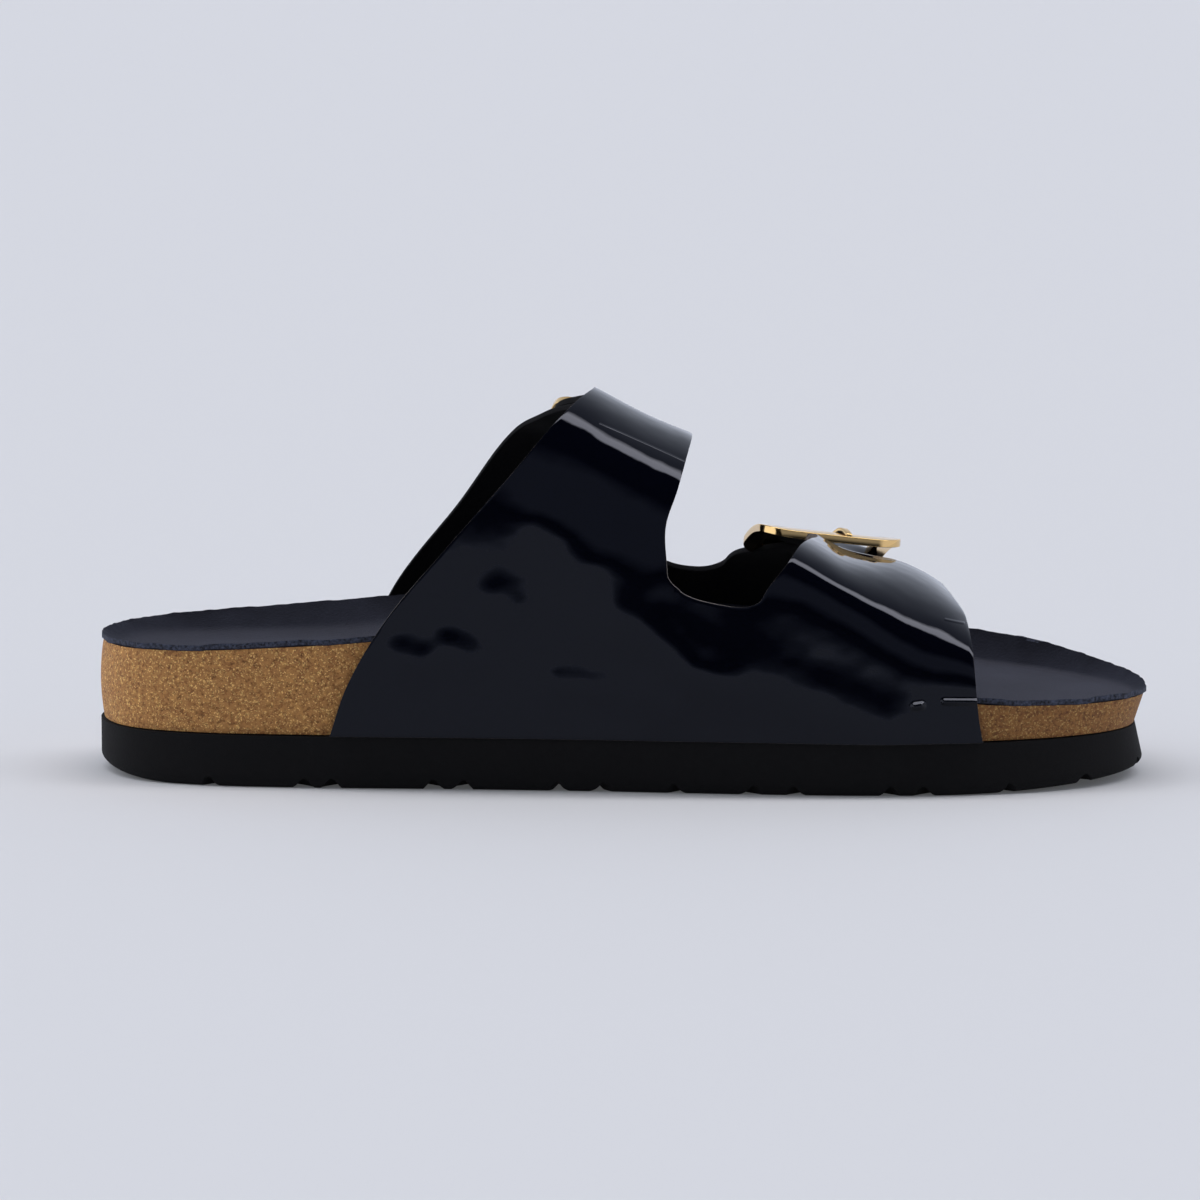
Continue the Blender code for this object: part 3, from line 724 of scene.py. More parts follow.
@dataclass(frozen=True)
class Finish:
    """A surface's own material; each kind adds its pattern in dress()."""

    name: str
    colour: str
    roughness: float
    metallic: float = 0.0

    def build(self) -> bpy.types.Material:
        """The material, made the first time that it is asked for."""
        if self.name in bpy.data.materials:
            return bpy.data.materials[self.name]
        made = bpy.data.materials.new(self.name)
        made.use_nodes = True
        made.diffuse_color = linear(self.colour)
        tree = made.node_tree
        shader = tree.nodes["Principled BSDF"]
        colour = linear(self.colour)
        set_inputs(shader, {"Base Color": colour, "Roughness": self.roughness, "Metallic": self.metallic})
        self.dress(tree, shader)
        return made

    def dress(self, tree: bpy.types.NodeTree, shader: bpy.types.Node) -> None:
        """Add the pattern of this finish."""

    def object_place(self, tree: bpy.types.NodeTree) -> bpy.types.NodeSocket:
        """Coordinates in the piece's own metres."""
        return add_node(tree, Node.PLACE).outputs["Object"]

    def noise(self, tree: bpy.types.NodeTree, size: float, detail: float = 3.0,
              rough: float = 0.5) -> bpy.types.NodeSocket:
        """Cloudy noise with features of a size in mm."""
        place = self.object_place(tree)
        inputs = {"Vector": place, "Scale": per_mm(size), "Detail": detail, "Roughness": rough}
        return add_node(tree, Node.NOISE, inputs).outputs["Fac"]

    def bump(self, tree: bpy.types.NodeTree, height: bpy.types.NodeSocket, depth: float,
             before: bpy.types.NodeSocket | None = None) -> bpy.types.NodeSocket:
        """Normal of a relief whose full height is a depth in mm."""
        inputs: dict[str | int, Any] = {"Height": height, "Distance": depth * MM}
        if before is not None:
            inputs["Normal"] = before
        return add_node(tree, Node.BUMP, inputs).outputs["Normal"]

    def roughen(self, tree: bpy.types.NodeTree, shader: bpy.types.Node, height: bpy.types.NodeSocket,
                depth: float) -> None:
        """Give the shader one relief whose full height is a depth in mm."""
        tree.links.new(self.bump(tree, height, depth), shader.inputs["Normal"])


@dataclass(frozen=True)
class PatentLeather(Finish):
    """Split leather under a poured lacquer film: black, with mirror-like, slightly uneven gloss."""

    swell_size: float = 24.0
    swell_depth: float = 0.4
    lump_size: float = 8.0
    lump_depth: float = 0.16
    ripple_size: float = 3.0
    ripple_depth: float = 0.012
    lines: tuple[Crease, ...] = (
        Crease(-5.1, 86.0, 15.4, 76.9, 0.05, 0.2),
        Crease(76.4, 40.6, 80.9, 39.4, 0.1, 0.35),
        Crease(68.8, 21.6, 70.2, 21.8, 1.25, 1.5),
        Crease(75.7, 22.6, 83.6, 22.4, 1.05, 1.25),
    )
    line_inner: float = -9.0
    film_ior: float = 1.5
    film_gloss: float = 0.25
    film_tint: str = "#e2e8fa"

    def crease_line(self, tree: bpy.types.NodeTree, line: Crease,
                    before: bpy.types.NodeSocket) -> bpy.types.NodeSocket:
        """Normal with a fine crease between two places on the medial side.

        Args:
            tree: The material's node tree.
            line: The crease.
            before: Normal of the coarser relief.

        Returns:
            The normal.
        """
        start = Vector((line.x, 0.0, line.z)) * MM
        run = Vector((line.end_x - line.x, 0.0, line.end_z - line.z)) * MM
        place = self.object_place(tree)
        upright = (1.0, 0.0, 1.0)
        flat = add_node(tree, Node.VECTOR, {0: place, 1: upright}, operation="MULTIPLY").outputs[0]
        off = add_node(tree, Node.VECTOR, {0: flat, 1: start}, operation="SUBTRACT").outputs[0]
        step = run / run.length_squared
        share = add_node(tree, Node.VECTOR, {0: off, 1: step}, operation="DOT_PRODUCT").outputs["Value"]
        held = add_node(tree, Node.CLAMP, {0: share}).outputs[0]
        along = add_node(tree, Node.VECTOR, {0: run, "Scale": held}, operation="SCALE").outputs[0]
        away = add_node(tree, Node.VECTOR, {0: off, 1: along}, operation="DISTANCE").outputs["Value"]
        fade = {"Value": away, "From Min": 0.0, "From Max": line.spread * MM, "To Min": 1.0, "To Max": 0.0}
        near = add_node(tree, Node.RANGE, fade, interpolation_type="SMOOTHSTEP").outputs[0]
        y = add_node(tree, Node.SPLIT, {0: place}).outputs[1]
        inner = self.line_inner * MM
        medial = add_node(tree, Node.MATH, {0: y, 1: inner}, operation="LESS_THAN").outputs[0]
        raised = add_node(tree, Node.MATH, {0: near, 1: medial}, operation="MULTIPLY").outputs[0]
        return self.bump(tree, raised, line.height, before)

    def dress(self, tree: bpy.types.NodeTree, shader: bpy.types.Node) -> None:
        """Long swells and lumps of the hide, fine crease lines and the film's faint orange peel."""
        tint = linear(self.film_tint)
        film = {"IOR": self.film_ior, "Specular IOR Level": self.film_gloss, "Specular Tint": tint}
        set_inputs(shader, film)
        swell = self.bump(tree, self.noise(tree, self.swell_size, detail=1.0), self.swell_depth)
        lump = self.bump(tree, self.noise(tree, self.lump_size, detail=1.0), self.lump_depth, swell)
        normal = self.bump(tree, self.noise(tree, self.ripple_size, detail=2.0), self.ripple_depth, lump)
        for line in self.lines:
            normal = self.crease_line(tree, line, normal)
        tree.links.new(normal, shader.inputs["Normal"])


@dataclass(frozen=True)
class Felt(Finish):
    """Pressed black felt lining: no gloss, a soft pile that catches light at its edge."""

    fibre_size: float = 0.5
    fibre_depth: float = 0.25
    gloss: float = 0.1
    sheen: float = 0.03
    sheen_rough: float = 0.6

    def dress(self, tree: bpy.types.NodeTree, shader: bpy.types.Node) -> None:
        """Tangled fibres."""
        set_inputs(shader, {
            "Specular IOR Level": self.gloss, "Sheen Weight": self.sheen, "Sheen Roughness": self.sheen_rough,
        })
        fibres = self.noise(tree, self.fibre_size, detail=4.0, rough=0.7)
        self.roughen(tree, shader, fibres, self.fibre_depth)


@dataclass(frozen=True)
class CutEdge(Finish):
    """Raw cut edge of leather or suede: matt, uneven fibres, paler in places than the face."""

    pale: str = "#8a8078"
    fibre_size: float = 0.6
    fibre_depth: float = 0.15

    def dress(self, tree: bpy.types.NodeTree, shader: bpy.types.Node) -> None:
        """Uneven fibres, paler in places."""
        fibres = self.noise(tree, self.fibre_size, detail=4.0, rough=0.7)
        ramp = add_node(tree, Node.RAMP, {"Fac": fibres}, stops=((0.35, self.colour), (0.68, self.pale)))
        tree.links.new(ramp.outputs["Color"], shader.inputs["Base Color"])
        self.roughen(tree, shader, fibres, self.fibre_depth)


@dataclass(frozen=True)
class Cork(Finish):
    """Pressed and sanded cork granulate: warm brown grains, gold flecks and pits, darker to the toe."""

    dark: str = "#a06a38"
    pale: str = "#cc9450"
    fleck: str = "#f6cc7c"
    grain_size: float = 0.8
    fleck_size: float = 0.3
    fleck_chances: tuple[float, float] = (0.8, 0.95)
    stir_size: float = 1.3
    stir_reach: float = 0.9
    pit_size: float = 0.8
    pit_depth: float = 0.3
    pit_shade: str = "#8e7256"
    pit_weight: float = 0.8
    toe_shade: str = "#c8c2b8"
    shade_reach: tuple[float, float] = (-60.0, 90.0)

    def dress(self, tree: bpy.types.NodeTree, shader: bpy.types.Node) -> None:
        """Grains of several browns, then flecks, the darkening towards the toe and the pits laid over them.
        """
        place = self.object_place(tree)
        stir = add_node(tree, Node.NOISE, {"Vector": place, "Scale": per_mm(self.stir_size), "Detail": 2.0})
        reach = {0: stir.outputs["Color"], "Scale": self.stir_reach * MM}
        moved = add_node(tree, Node.VECTOR, reach, operation="SCALE")
        grainy = add_node(tree, Node.VECTOR, {0: place, 1: moved.outputs[0]}).outputs[0]
        grains, flecks = (
            add_node(tree, Node.SPLIT_COLOUR, {
                0: add_node(tree, Node.CELLS, {"Vector": grainy, "Scale": per_mm(size)}).outputs["Color"],
            })
            for size in (self.grain_size, self.fleck_size)
        )
        browns = add_node(
            tree, Node.RAMP, {"Fac": grains.outputs[0]},
            stops=((0.0, self.dark), (0.3, self.colour), (0.75, self.colour), (1.0, self.pale)),
        )
        rare, sure = self.fleck_chances
        bright = add_node(tree, Node.RANGE, {"Value": flecks.outputs[1], "From Min": rare, "From Max": sure})
        # Colour is darkened along X, from the heel towards the toe.
        x = add_node(tree, Node.SPLIT, {0: place}).outputs[0]
        heel, toe = (end * MM for end in self.shade_reach)
        fore = add_node(tree, Node.RANGE, {"Value": x, "From Min": heel, "From Max": toe}).outputs[0]
        toe_darkening = add_node(tree, Node.RAMP, {"Fac": fore}, stops=((0.0, "#ffffff"), (1.0, self.toe_shade)))
        pits = self.noise(tree, self.pit_size, detail=4.0, rough=0.65)
        shadow = add_node(tree, Node.RAMP, {"Fac": pits}, stops=((0.33, self.pit_shade), (0.5, "#ffffff")))
        colour = browns.outputs["Color"]
        for weight, over, way in (
            (bright.outputs[0], linear(self.fleck), "MIX"),
            (1.0, toe_darkening.outputs["Color"], "MULTIPLY"),
            (self.pit_weight, shadow.outputs["Color"], "MULTIPLY"),
        ):
            layers = {0: weight, 6: colour, 7: over}
            colour = add_node(tree, Node.MIX, layers, data_type="RGBA", blend_type=way).outputs[2]
        tree.links.new(colour, shader.inputs["Base Color"])
        self.roughen(tree, shader, pits, self.pit_depth)


@dataclass(frozen=True)
class Suede(Finish):
    """Buffed split leather, blue-black: a short nap, with painted light that makes it paler where it faces
    up.
    """

    pale: str = "#23252f"
    # Painted light: paler colour of the level places that face up.
    flat: str = "#7c7c84"
    nap_size: float = 0.6
    nap_depth: float = 0.3
    cloud_size: float = 18.0
    gloss: float = 0.15
    sheen: float = 0.1
    sheen_tint: str = "#c4ccf0"
    sheen_rough: float = 0.5

    def dress(self, tree: bpy.types.NodeTree, shader: bpy.types.Node) -> None:
        """Nap, soft clouds of stroked pile, and painted light that makes the level places paler."""
        set_inputs(shader, {
            "Specular IOR Level": self.gloss, "Sheen Weight": self.sheen, "Sheen Roughness": self.sheen_rough,
            "Sheen Tint": linear(self.sheen_tint),
        })
        clouds = self.noise(tree, self.cloud_size, detail=4.0, rough=0.6)
        ramp = add_node(tree, Node.RAMP, {"Fac": clouds}, stops=((0.3, self.colour), (0.8, self.pale)))
        # Painted light: faces that look up are mixed towards a paler colour, as if lit from above.
        top_light_mask = add_node(tree, Node.ATTRIBUTE, attribute_name=LEVEL_PLACES)
        layers = {0: top_light_mask.outputs["Fac"], 6: ramp.outputs["Color"], 7: linear(self.flat)}
        lit = add_node(tree, Node.MIX, layers, data_type="RGBA")
        tree.links.new(lit.outputs[2], shader.inputs["Base Color"])
        self.roughen(tree, shader, self.noise(tree, self.nap_size, detail=4.0, rough=0.7), self.nap_depth)


@dataclass(frozen=True)
class FoamRubber(Finish):
    """Sanded closed-cell foam rubber: matt black with a fine open grain."""

    grain_size: float = 0.6
    grain_depth: float = 0.12
    gloss: float = 0.25

    def dress(self, tree: bpy.types.NodeTree, shader: bpy.types.Node) -> None:
        """Sanding grain."""
        set_inputs(shader, {"Specular IOR Level": self.gloss})
        self.roughen(tree, shader, self.noise(tree, self.grain_size, rough=0.7), self.grain_depth)


@dataclass(frozen=True)
class GiltMetal(Finish):
    """Pale gold plate on a polished die casting: bright, with faint polishing waves."""

    wave_size: float = 5.0
    wave_depth: float = 0.01

    def dress(self, tree: bpy.types.NodeTree, shader: bpy.types.Node) -> None:
        """Polishing waves."""
        self.roughen(tree, shader, self.noise(tree, self.wave_size, detail=2.0), self.wave_depth)


@dataclass(frozen=True)
class StudioPaper(Finish):
    """Matt pale studio paper, which lets a little of the light table beneath it through."""

    glow: float = 0.1

    def dress(self, tree: bpy.types.NodeTree, shader: bpy.types.Node) -> None:
        """Light through the paper."""
        set_inputs(shader, {"Emission Color": linear(self.colour), "Emission Strength": self.glow})


PATENT = PatentLeather("black_patent_leather", "#04050d", 0.035)
FELT = Felt("black_felt", "#040407", 0.95)
CUT = CutEdge("leather_cut_edge", "#2c2a28", 0.8)
CORK = Cork("cork_granulate", "#bb8448", 0.75)
SUEDE = Suede("blue_black_suede", "#0d0e16", 0.9)
SUEDE_EDGE = CutEdge("suede_cut_edge", "#020306", 0.9, pale="#4c5266", fibre_size=0.7)
FOAM = FoamRubber("sanded_foam_rubber", "#09090b", 0.85)
GILT = GiltMetal("pale_gold_plate", "#e2bf83", 0.12, metallic=1.0)
PAPER = StudioPaper("studio_paper", "#ccced0", 0.9)
LEATHER = (PATENT, FELT, CUT)


def give_finishes(thing: bpy.types.Object, *finishes: Finish) -> None:
    """Give a piece its finishes, in the order that its faces number them."""
    for finish in finishes:
        thing.data.materials.append(finish.build())


# Sub-assemblies


@dataclass
class CorkBlock:
    """The cork footbed: a slightly barrelled side under the footbed's shape."""

    last: Last
    liner_thick: float = 1.2
    turns: int = 360
    side_rows: int = 14
    top_rows: int = 22

    def points(self, turn_share: Array, row_share: Array) -> Array:
        """Points of the block: underside, side and top.

        Args:
            turn_share: Share of the way round the plan.
            row_share: Share of the way through the rows.

        Returns:
            Points in mm.
        """
        last = self.last
        turn = FULL_TURN * (turn_share % 1.0)
        along = last.along_of(turn)
        row = row_share * (self.side_rows + self.top_rows + 1)
        foot = last.sole_top + last.gap
        drop = self.liner_thick + last.gap
        top_from = 1 + self.side_rows
        rise = part_way(row, 1, top_from)
        stand = {name: last.stand[name](along) for name in ("cork_foot", "cork_middle", "cork_rim")}
        barrel = 4 * rise * (1 - rise)
        out = stand["cork_foot"] * (1 - rise) + stand["cork_rim"] * rise
        out = out + barrel * (stand["cork_middle"] - (stand["cork_foot"] + stand["cork_rim"]) / 2)
        side_x, side_y, _ = last.toward_middle(turn, np.clip(row, 0, 1), out)
        side_z = foot + rise * (last.rim(turn) - drop - foot)
        reach = 1 - smooth(part_way(row, top_from, top_from + self.top_rows))
        top_x, top_y, top_z = last.bed(turn, reach, stand["cork_rim"])
        top = np.stack((top_x, top_y, top_z - drop), -1)
        return np.where(row[:, None] > top_from, top, np.stack((side_x, side_y, side_z), -1))

    def build(self) -> None:
        """Model and dress the block."""
        rows = self.side_rows + self.top_rows + 1
        block = wrapped("cork_block", self.turns, rows, self.points)
        smooth_by_angle(block, 40)
        give_finishes(block, CORK)
        finish_piece(block, Slot.CORK, "footbed_cork")


@dataclass
class FootbedLiner:
    """The suede sheet on the footbed, with its raw, slightly wavy edge."""

    last: Last
    thick: float = 1.2
    turns: int = 480
    rows: int = 26
    row_power: float = 0.8
    # Share of painted light on the faces that look up.
    wear: float = 0.13
    level_normals: tuple[float, float] = (0.9, 0.96)
    rim_normal: float = 0.5
    overhang: float = 0.3
    wander_out: float = 0.5
    wander_up: float = 0.35
    wander_shift: float = 0.7
    wander_powers: tuple[int, int] = (40, 30)
    edge_waves: tuple[tuple[float, float, float], ...] = (
        (0.30, 13.0, 0.4), (0.24, 31.0, 1.9), (0.16, 57.0, 3.1), (0.12, 97.0, 0.2), (0.10, 151.0, 2.2),
    )

    def edge_wander(self, turn: Array) -> Array:
        """How far the cut edge strays from its line, in mm."""
        return sum(size * np.sin(count * turn + start) for size, count, start in self.edge_waves)

    def points(self, turn_share: Array, row_share: Array) -> Array:
        """Points of the sheet: top from the middle to the edge, then back underneath.

        Args:
            turn_share: Share of the way round the plan.
            row_share: Share of the way through the rows.

        Returns:
            Points in mm.
        """
        last = self.last
        turn = FULL_TURN * (turn_share % 1.0)
        row = row_share * (2 * self.rows + 1)
        under = row > self.rows + 0.5
        way = np.where(under, (2 * self.rows + 1 - row) / self.rows, row / self.rows)
        reach = smooth(np.clip(way, 0, 1) ** self.row_power)
        # High powers keep the wander to the last few millimetres before the edge.
        out_power, up_power = self.wander_powers
        stray = self.wander_out * self.edge_wander(turn) * reach ** out_power
        x, y, z = last.bed(turn, reach, last.stand["cork_rim"](last.along_of(turn)) + self.overhang + stray)
        z = z + self.wander_up * self.edge_wander(turn + self.wander_shift) * reach ** up_power
        return np.stack((x, y, z - np.where(under, self.thick, 0.0)), -1)

    def build(self) -> None:
        """Model and dress the sheet."""
        sheet = wrapped("suede_liner", self.turns, 2 * self.rows + 1, self.points)
        smooth_by_angle(sheet, 50)
        # Painted light: faces that look up get a share of paler colour, which the suede reads as an
        # attribute.
        level = np.array([vertex.normal.z for vertex in sheet.data.vertices])
        top_light = sheet.data.attributes.new(LEVEL_PLACES, "FLOAT", "POINT")
        top_light.data.foreach_set("value", self.wear * smooth(part_way(level, *self.level_normals)))
        give_finishes(sheet, SUEDE, SUEDE_EDGE)
        for face in sheet.data.polygons:
            face.material_index = int(abs(face.normal.z) < self.rim_normal)
        finish_piece(sheet, Slot.SUEDE, "footbed_liner")


@dataclass
class Outsole:
    """The foam rubber sole, with a rounded foot edge and wavy cross grooves."""

    last: Last
    turns: int = 360
    edge_round: float = 1.4
    groove_first: float = 30.0
    groove_pitch: float = 15.45
    groove_count: int = 15
    groove_depth: float = 2.4
    groove_width: float = 6.4
    groove_lip: float = 0.15
    wave_height: float = 4.6
    wave_length: float = 26.0
    wave_phase: float = 5.0
    half_reach: float = 64.0
    cutter_below: float = 4.0
    cutter_points: int = 11
    cutter_rows: int = 72
    side_rows: int = 6
    round_rows: int = 5
    foot_rows: int = 8

    def points(self, turn_share: Array, row_share: Array) -> Array:
        """Points of the sole: top, side, rounded edge and underside.

        Args:
            turn_share: Share of the way round the plan.
            row_share: Share of the way through the rows.

        Returns:
            Points in mm.
        """
        last = self.last
        turn = FULL_TURN * (turn_share % 1.0)
        along = last.along_of(turn)
        round_from = 1 + self.side_rows
        foot_from = round_from + self.round_rows
        row = row_share * (foot_from + self.foot_rows)
        side = part_way(row, 1, round_from)
        bend = part_way(row, round_from, foot_from) * math.pi / 2
        inner = 1 - part_way(row, foot_from, foot_from + self.foot_rows)
        out = last.stand["sole_top"](along) * (1 - side) + last.stand["sole_foot"](along) * side
        out = out - self.edge_round * (1 - np.cos(bend))
        reach = np.minimum(np.clip(row, 0, 1), inner)
        x, y, _ = last.toward_middle(turn, reach, out)
        foot = last.sole_foot(x)
        low = foot + self.edge_round * (1 - np.sin(bend))
        z = last.sole_top * (1 - side) + low * side
        return np.stack((x, y, z), -1)

    def groove(self, number: int) -> bpy.types.Object:
        """Wavy bar that cuts one groove; neighbours wave opposite ways."""
        middle = self.last.heel_back + self.groove_first + number * self.groove_pitch
        swing = self.wave_height if number % 2 == 0 else -self.wave_height
        floor = float(self.last.sole_foot(np.array(middle)))
        wide = self.groove_width / 2
        across = np.linspace(wide, -wide, self.cutter_points)
        bell = (self.groove_depth + self.groove_lip) * np.cos(math.pi * across / self.groove_width) ** 2
        below = (-self.cutter_below,)
        corners_x = np.concatenate(((-wide, wide), across, (-wide,)))
        corners_z = np.concatenate((below * 2, bell - self.groove_lip, below))
        sides = len(corners_x) - 1

        def bar(turn_share: Array, row_share: Array) -> Array:
            """Points of the bar in mm, for its corner and its place across the sole."""
            corner = np.rint(turn_share * sides).astype(int)
            y = self.half_reach * (2 * row_share - 1)
            wave = swing * np.sin(FULL_TURN * (y + self.wave_phase) / self.wave_length)
            return np.stack((middle + wave + corners_x[corner], y, floor + corners_z[corner]), -1)

        return wrapped(f"groove_{number:02d}", sides, self.cutter_rows, bar, capped=True)

    def build(self) -> None:
        """Model and dress the sole."""
        rows = 1 + self.side_rows + self.round_rows + self.foot_rows
        sole = wrapped("foam_sole", self.turns, rows, self.points)
        for number in range(self.groove_count):
            cut_away(sole, self.groove(number))
        smooth_by_angle(sole, 35)
        sole.data.materials.clear()
        give_finishes(sole, FOAM)
        finish_piece(sole, Slot.FOAM, "outsole")


@dataclass(frozen=True)
class BuckleSeat:
    """Where a buckle sits: its hinge bar's place on the strap, its slant and its ring's pitch."""

    name: str
    along: float
    arc: float
    slant: float
    reach: float
    pitch: float
    medial_bar_height: float
    last: Last
    hinge_height: float = 3.75
    bow: float = 2.0

    def strap_place(self, across: Array, past: Array) -> tuple[Array, Array]:
        """Distance along the foot and round from the ridge of a place on the strap.

        Args:
            across: Distance across the strap, towards the toe.
            past: Distance past the hinge bar, towards the lateral side.

        Returns:
            Distance from the back of the heel, and from the ridge.
        """
        slant = math.radians(self.slant)
        along = self.along + across * math.cos(slant) - past * math.sin(slant)
        return along, self.arc + past * math.cos(slant) + across * math.sin(slant)

    def strap_point(self, across: float, past: float, height: float) -> Vector:
        """Point above the strap's lining face, in mm."""
        along, arc = self.strap_place(np.array([across]), np.array([past]))
        return Vector(self.last.leather(along, self.last.around_at(along, arc), np.array([height]))[0])

    def axes(self) -> tuple[Vector, Vector, Vector, Vector]:
        """Hinge middle, and the directions across, inward and up of the ring."""
        hinge = self.strap_point(0.0, 0.0, self.hinge_height)
        inward = self.strap_point(0.0, -self.reach, self.medial_bar_height) - hinge
        pitch = math.radians(self.pitch)
        level = Vector((math.cos(pitch), 0.0, math.sin(pitch)))
        ahead = inward.normalized()
        across = (level - ahead * level.dot(ahead)).normalized()
        return hinge, across, inward, ahead.cross(across)

    def bar_lean(self, across: Array) -> Array:
        """How much higher the hinge bar stands above the lining face than at its middle."""
        hinge, level, _, _ = (np.array(part) for part in self.axes())
        along, arc = self.strap_place(across, np.zeros_like(across))
        around = self.last.around_at(along, arc)
        foot = self.last.leather(along, around, np.zeros_like(across))
        up = self.last.leather(along, around, np.ones_like(across)) - foot
        return ((hinge + across[:, None] * level - foot) * up).sum(1) - self.hinge_height

    def place(self, local: Array) -> Array:
        """Points in mm of places across, inward and up on the bowed ring."""
        hinge, across, inward, up = (np.array(part) for part in self.axes())
        length = np.linalg.norm(inward)
        share = local[:, 1:2] / length
        lift = local[:, 2:3] + self.bow * 4 * share * (1 - share)
        return hinge + local[:, 0:1] * across + local[:, 1:2] * inward / length + lift * up


@dataclass
class Upper:
    """The leather: a medial sheet whose straps end over the buckles, and a lateral sheet with two tabs."""

    last: Last
    seats: dict[str, BuckleSeat]
    thick: float = 1.8
    edge_round: float = 0.25
    slot_ends: tuple[float, float] = (0.25, 1.75)
    slot_dips: tuple[float, float] = (0.07, 0.12)
    slot_skews: tuple[float, float] = (0.78, 1.0)
    hole_pasts: tuple[float, ...] = (-20.4, -13.9, -7.4, 6.0, 12.5, 19.0)
    hole_radius: float = 1.6
    hole_sides: int = 24
    hole_across: float = 1.1
    hole_reach: tuple[float, float] = (-1.0, 14.0)
    corner_angle: float = math.radians(40)
    strap_columns: int = 60
    slot_columns: int = 20
    foot_rows: int = 40
    shoulder_rows: int = 70
    end_rows: int = 80
    strap_half_width: float = 12.4
    strap_end: float = 26.5
    tip_from: float = 19.0
    tip_narrows: float = 0.45
    tip_power: float = 2.6
    narrows: tuple[float, float] = (-34.0, -10.0)
    over_bar: tuple[float, float] = (4.0, 12.0)
    tab_arc: float = 8.0
    tab_sinks: tuple[float, float] = (-22.0, -11.0)
    tab_drop: float = 0.1
    tab_clear: float = 0.15
    smooth_angle: float = 50.0
    creases: tuple[Crease, ...] = (
        Crease(-51.5, 31.5, -48.0, 30.0, 0.85, 4.6),
        Crease(-40.0, 33.5, -36.5, 31.5, 0.78, 4.4),
        Crease(-29.0, 46.0, -26.0, 43.5, 0.66, 4.8),
        Crease(-14.5, 26.0, -4.1, 25.0, 0.52, 4.0),
        Crease(7.0, 23.5, 10.0, 20.0, 1.15, 5.6),
        Crease(-7.4, 51.5, 16.0, 29.5, 1.25, 7.5),
        Crease(-19.2, 65.0, 6.2, 51.0, 0.9, 6.0),
        Crease(2.0, 41.0, 24.0, 25.0, 1.1, 6.5),
        Crease(29.0, 29.5, 60.6, 16.5, 1.5, 8.5),
    )
    lift_table: tuple[tuple[float, float], ...] = (
        (-26.0, 0.0), (-21.5, 0.1), (-16.0, 1.1), (-11.0, 2.1), (-8.5, 2.9), (-5.5, 4.4), (-2.5, 5.6),
        (2.5, 5.6), (5.5, 4.4), (9.0, 2.5), (13.0, 1.95), (17.0, 1.95),
    )

    def slot_corner(self, side: Side) -> float:
        """Place round the girth where the slot's edges end and its bottom begins."""
        dip = self.slot_dips[side.value] * math.sin(self.corner_angle)
        return self.slot_ends[side.value] + side.toward_foot * dip

    def wall_places(self, column: Array, around: Array, side: Side) -> tuple[Array, Array]:
        """Along and around of mesh columns that run from the rear edge to the front edge.

        Args:
            column: Number of the mesh column, counted from the rear edge.
            around: Place round the girth of the mesh row where no slot bends it.
            side: The side of the foot.

        Returns:
            Along and around.
        """
        corner = self.corner_angle
        dip = self.slot_dips[side.value]
        slot_from = self.strap_columns
        slot_to = slot_from + self.slot_columns
        rear, back, front, toe = (self.last.edge[name](around) for name in Cut._fields[1:])
        sunk = np.clip((around - self.slot_ends[side.value]) * side.toward_foot / dip, 0, math.sin(corner))
        inset = (front - back) / 2 * (1 - np.sqrt(1 - sunk ** 2))
        back = back + inset
        front = front - inset
        over_slot = part_way(column, slot_from, slot_to)
        turn, low_turn = (
            corner + (math.pi - 2 * corner) * over_slot ** power
            for power in (1.0, self.slot_skews[side.value])
        )
        in_rear = part_way(column, 0, slot_from)
        in_slot = (1 - np.cos(turn) / math.cos(corner)) / 2
        in_front = part_way(column, slot_to, slot_to + self.strap_columns)
        along = rear + (back - rear) * in_rear + (front - back) * in_slot + (toe - front) * in_front
        near = part_way(around, 1 + side.toward_foot, self.slot_corner(side))
        bowed = dip * (np.sin(low_turn) - math.sin(corner))
        return along, around + side.toward_foot * np.maximum(bowed, 0.0) * near

    def strap_edges(self, seat: BuckleSeat, around: Array) -> tuple[Array, Array]:
        """Rear and front edge of a strap."""
        names = ("rear", "slot_back") if seat is self.seats["rear"] else ("slot_front", "front")
        return self.last.edge[names[0]](around), self.last.edge[names[1]](around)

    def beyond_ridge(self, seat: BuckleSeat, arc: Array, across: Array, half_width: Array,
                     blend: Array) -> tuple[Array, Array]:
        """Places on a strap past the ridge, which turn from the cut edges to the buckle's direction.

        Args:
            seat: The strap's buckle.
            arc: Distance past the ridge.
            across: -1 at the rear edge to 1 at the front edge.
            half_width: Half width at the buckle.
            blend: 0 on the cut edges to 1 in the buckle's direction.

        Returns:
            Along and around.
        """
        row = self.last.around_at(np.full_like(arc, seat.along), arc)
        low, high = self.strap_edges(seat, row)
        cut_along = low + (high - low) * (across + 1) / 2
        buckle_along, buckle_arc = seat.strap_place(across * half_width, arc - seat.arc)
        buckle_around = self.last.around_at(buckle_along, buckle_arc)
        return cut_along + (buckle_along - cut_along) * blend, row + (buckle_around - row) * blend

    def lift(self, seat: BuckleSeat, past: Array, across: Array) -> Array:
        """Height of the strap's underside above the lining face near the hinge bar.

        Args:
            seat: The strap's buckle.
            past: Distance past the hinge bar.
            across: Distance across the strap.

        Returns:
            The height in mm; over the bar the strap lies level with it.
        """
        plain = through(self.lift_table)(past)
        on_bar = 1 - smooth(part_way(np.abs(past), *self.over_bar))
        leant = plain + on_bar * seat.bar_lean(across)
        return np.maximum(leant, np.minimum(plain, self.thick + self.tab_clear))

    def across_strap(self, column: Array, seat: BuckleSeat) -> Array:
        """-1 at a strap's rear edge to 1 at its front edge."""
        first = 0 if seat is self.seats["rear"] else self.strap_columns + self.slot_columns
        return 2 * part_way(column, first, first + self.strap_columns) - 1

    def straps(self, column: Array) -> list[tuple[BuckleSeat, Array]]:
        """Each strap's buckle, with which mesh columns are that strap's."""
        rear = column < self.strap_columns + self.slot_columns / 2
        return [(self.seats["rear"], rear), (self.seats["front"], ~rear)]

